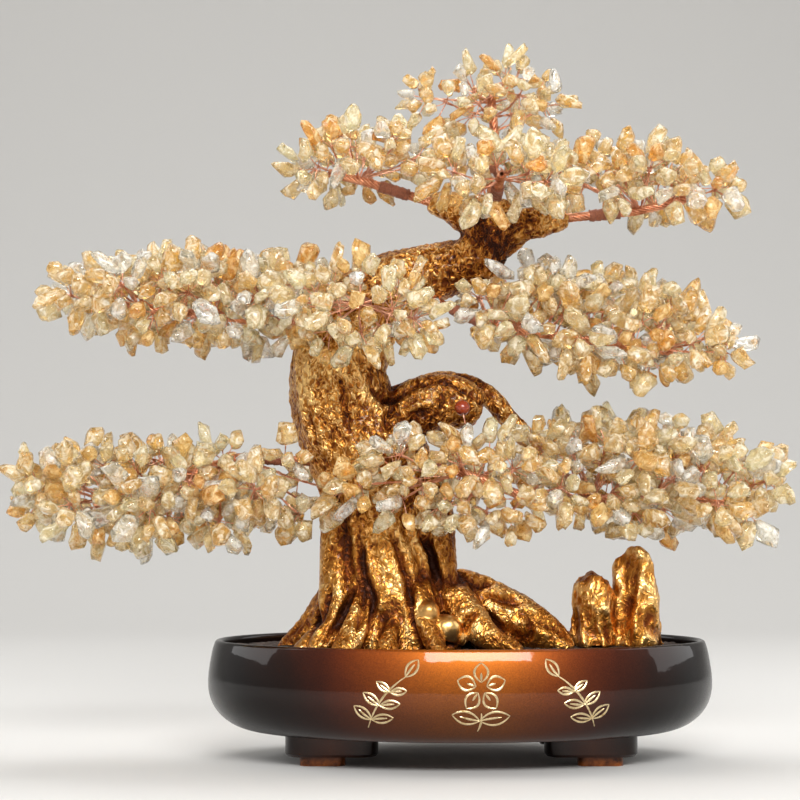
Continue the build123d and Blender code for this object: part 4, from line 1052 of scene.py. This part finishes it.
# Sprays: twigs of twisted copper bound to the stem, each opening from a wound knot into fine stalks that
# hold a chip apiece. Every wire is a pair of strands, bent a little by the hand that set it.
TWIG_LAY, TWIG_GAUGE = 0.00031, 0.00034
STALK_LAY, STALK_GAUGE = 0.00017, 0.00018
KNOT_LAY, KNOT_GAUGE = 0.00016, 0.00024
KNOT_RADIUS = 0.00085
KNOT_TURNS = 2
KNOT_STEPS = 7
KNOT_LENGTH = 0.0021
SPRAY_STRANDS = 2
SPRAY_SIDES = 3
SPRAY_STEP = 0.0011
COIL_HINT = (0.2, 0.5, 0.8)
WIRE_BOW = 0.10
WIRE_INTO = 0.0008
BUD_SPAN = 0.0033
TWIG_LIMIT = 0.00050
SPRAY_SEED = 5
STALK_BRIGHT = (0.95, 0.56, 0.40)
STALK_DARK = (0.62, 0.24, 0.13)


def islands(work):
    """The separate shells of a mesh, as lists of points."""
    work.verts.index_update()
    seen = set()
    found = []
    for start in work.verts:
        if start.index in seen:
            continue
        seen.add(start.index)
        shell = [start]
        for point in shell:
            for edge in point.link_edges:
                end = edge.other_vert(point)
                if end.index not in seen:
                    seen.add(end.index)
                    shell.append(end)
        found.append(shell)
    return found


def wire_ends(points):
    """The two ends of a straight wire and its radius, from its points."""
    middle = points.mean(axis=0)
    way = np.linalg.svd(points - middle, full_matrices=False)[2][0]
    reach = (points - middle) @ way
    radius = norm(points - middle - reach[:, None] * way, axis=1).max()
    return middle + way * reach.min(), middle + way * reach.max(), radius


def bowed(start, end, dice):
    """A wire from start to end, pushed a little out of line and into what it holds."""
    way = (end - start) / norm(end - start)
    start = start - way * WIRE_INTO
    end = end + way * WIRE_INTO
    push = np.array([dice.gauss(0, 1) for axis in range(3)])
    push = push - way * (push @ way)
    push = push / norm(push)
    middle = (start + end) / 2 + push * norm(end - start) * dice.uniform(0, WIRE_BOW)
    return [start, middle, end]


stalk_copper = copper_finish("stalk_copper", STALK_BRIGHT, STALK_DARK)
for number, bough in enumerate(stem_routes):
    dice = random.Random(SPRAY_SEED + number)
    work = merged_copy(bough + "_sprays")
    runs = []
    knots = []
    twigs = []
    for shell in islands(work):
        shell_points = np.array([tuple(point.co) for point in shell])
        start, end, radius = wire_ends(shell_points)
        if norm(end - start) < BUD_SPAN:
            knots.append(shell_points.mean(axis=0))
        elif radius > TWIG_LIMIT:
            twigs.append((start, end))
        else:
            runs.append((bowed(start, end, dice), STALK_LAY, STALK_GAUGE))
    work.free()
    for start, end in twigs:
        runs.append((bowed(start, end, dice), TWIG_LAY, TWIG_GAUGE))
        ends = np.array([start, end])
        gaps = norm(np.array(knots)[:, None, :] - ends[None, :, :], axis=2)
        knot_index, end_index = np.unravel_index(gaps.argmin(), gaps.shape)
        middle = knots[knot_index]
        way = (middle - ends[1 - end_index]) / norm(middle - ends[1 - end_index])
        arms = square_to(way, COIL_HINT)
        coil = []
        for step in range(KNOT_TURNS * KNOT_STEPS + 1):
            angle = 2 * math.pi * step / KNOT_STEPS
            share = step / (KNOT_TURNS * KNOT_STEPS) - 0.5
            coil.append(middle + way * KNOT_LENGTH * share + step_out(arms, angle, KNOT_RADIUS))
        runs.append((coil, KNOT_LAY, KNOT_GAUGE))
    spray = twisted(bough + "_spray_wires", runs, SPRAY_STRANDS, SPRAY_SIDES, SPRAY_STEP, stalk_copper)
    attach(spray, bough + "_bough")
    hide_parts(bough + "_sprays")

# Chips: tumbled quartz, drilled and glued onto the stalks. Most are honey yellow and cloudy, some are
# clear and some amber. Their edges are worn round by the tumbling. Boughs that swing close to their
# neighbours carry slimmer chips.
CHIP_SWELL = 1.13
CHIP_SLIM = {"crown_left": 1.04, "crown_top": 0.94, "mid_front": 0.98, "low_front": 1.0}
CHIP_ROUGHEN = 0.00055
CHIP_EDGES = (0.0, 0.35, 0.60, 0.80, 0.95)
CHIP_FLAT = math.radians(9.0)
CHIP_SHARES = (0.69, 0.18, 0.13)
CHIP_SEED = 3
VEIN_SIZE = 0.0034
# Each kind's pale, deep and cloudy colour
HONEY = ((1.0, 0.88, 0.53), (1.0, 0.62, 0.16), (1.0, 0.95, 0.80))
CLEAR = ((1.0, 0.96, 0.86), (1.0, 0.92, 0.72), (1.0, 0.985, 0.94))
AMBER = ((0.99, 0.66, 0.22), (0.92, 0.44, 0.08), (1.0, 0.82, 0.46))


def quartz(name, colours, clearness):
    """Quartz with cloudy veins, from one chip to the next paler or deeper."""
    pale, deep, cloud = colours
    made = Finish(name, {"IOR": 1.54})
    tint = made.attribute("tint", "Fac")
    body = made.mix(tint, pale, deep)
    veins = made.noise(made.place, VEIN_SIZE, detail=5.0, rough=0.65, swirl=0.8)
    made.feed({
        "Base Color": made.mix(made.span(veins, 0.44, 0.66), body, cloud),
        "Transmission Weight": made.span(veins, 0.42, 0.68, clearness, clearness * 0.32),
        "Roughness": made.span(veins, 0.35, 0.75, 0.02, 0.10),
        "Normal": made.bump(made.noise(made.place, VEIN_SIZE, detail=2.0), 0.00016),
    })
    return made


quartz_finishes = (quartz("honey_quartz", HONEY, 0.84), quartz("clear_quartz", CLEAR, 0.92),
                   quartz("amber_quartz", AMBER, 0.78))
for number, bough in enumerate(stem_routes):
    dice = random.Random(CHIP_SEED + number)
    work = merged_copy(bough + "_stones")
    bmesh.ops.dissolve_limit(work, angle_limit=CHIP_FLAT, verts=work.verts, edges=work.edges)
    tint_layer = work.verts.layers.float.new("tint")
    edge_layer = work.edges.layers.float.new("crease_edge")
    swell = CHIP_SLIM.get(bough, CHIP_SWELL)
    for shell in islands(work):
        tint = dice.random()
        kind = dice.choices((0, 1, 2), CHIP_SHARES)[0]
        middle = sum((point.co for point in shell), Vector()) / len(shell)
        for point in shell:
            point[tint_layer] = tint
            point.co = middle + (point.co - middle) * swell
            point.co += Vector([dice.uniform(-1, 1) for axis in range(3)]) * CHIP_ROUGHEN
            for face in point.link_faces:
                face.material_index = kind
                face.smooth = True
            for edge in point.link_edges:
                edge[edge_layer] = dice.choice(CHIP_EDGES)
    mesh = bpy.data.meshes.new(bough + "_quartz")
    work.to_mesh(mesh)
    work.free()
    stones = new_piece(bough + "_quartz", mesh)
    tumbled = stones.modifiers.new("tumbled", "SUBSURF")
    tumbled.levels = 1
    tumbled.render_levels = 1
    mesh = finished_mesh(stones)
    for finish in quartz_finishes:
        mesh.materials.append(finish.material)
    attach(stones, bough + "_bough")
    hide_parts(bough + "_stones")

# Red bead: a polished agate ball, drilled through and threaded on a copper wire of its own that is bound
# to the front bough and stands before the burl.
BEAD_HOLE = 0.00075
BEAD_RINGS = 18
BEAD_ROUND = 36
BORE_SHARE = 0.80
BEAD_TIP = 0.0014
BEAD_WIRE_SIDES = 6
BEAD_WIRE_GAUGE = STALK_GAUGE * 1.15
BEAD_DEEP = (0.14, 0.013, 0.005)
BEAD_RED = (0.32, 0.040, 0.011)
BEAD_PALE = (0.44, 0.085, 0.022)

bead_low, bead_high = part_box("red_bead")
bead_middle = np.array((bead_low + bead_high) / 2)
bead_radius = (bead_high[2] - bead_low[2]) / 2
wire_start, wire_end = wire_ends(points_of(frame["nodes"]["red_bead_wire"].data))[:2]
if norm(wire_end - bead_middle) > norm(wire_start - bead_middle):
    wire_start, wire_end = wire_end, wire_start
bead_way = (bead_middle - wire_start) / norm(bead_middle - wire_start)
bead_arms = square_to(bead_way, COIL_HINT)
open_angle = math.asin(BEAD_HOLE / bead_radius)
bead_profile = []
for ring in range(BEAD_RINGS + 1):
    angle = open_angle + (math.pi - 2 * open_angle) * ring / BEAD_RINGS
    bead_profile.append((bead_radius * math.sin(angle), -bead_radius * math.cos(angle)))
for end in (1, -1):
    bead_profile.append((BEAD_HOLE * BORE_SHARE, end * bead_radius * BORE_SHARE))
bead_points = []
for radius, reach in bead_profile:
    for column in range(BEAD_ROUND):
        angle = 2 * math.pi * column / BEAD_ROUND
        bead_points.append(bead_middle + bead_way * reach + step_out(bead_arms, angle, radius))
bead_faces = tube_faces(0, len(bead_profile), BEAD_ROUND, closed=True)
bead = new_piece("red_bead_agate", facing_out(mesh_of("red_bead_agate", bead_points, bead_faces)))
agate = Finish("red_agate_polish", {"Roughness": 0.10, "Coat Weight": 0.6, "Coat Roughness": 0.04,
                                    "Subsurface Weight": 0.10, "Subsurface Scale": 0.001})
bands = agate.noise(agate.stretch(agate.place, (1.0, 1.0, 2.6)), 0.0045, detail=4.0, swirl=1.2)
agate.feed({"Base Color": agate.ramp(bands, (0.34, BEAD_DEEP), (0.54, BEAD_RED), (0.74, BEAD_PALE))})
dress(bead, agate)
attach(bead, "low_front_bough")
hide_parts("red_bead")

bead_run = [wire_start - bead_way * WIRE_INTO, bead_middle + bead_way * (bead_radius + BEAD_TIP)]
bead_wire = twisted("red_bead_twist", [(bead_run, STALK_LAY, BEAD_WIRE_GAUGE)], SPRAY_STRANDS,
                    BEAD_WIRE_SIDES, SPRAY_STEP / 2, stalk_copper)
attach(bead_wire, "low_front_bough")
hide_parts("red_bead_wire")
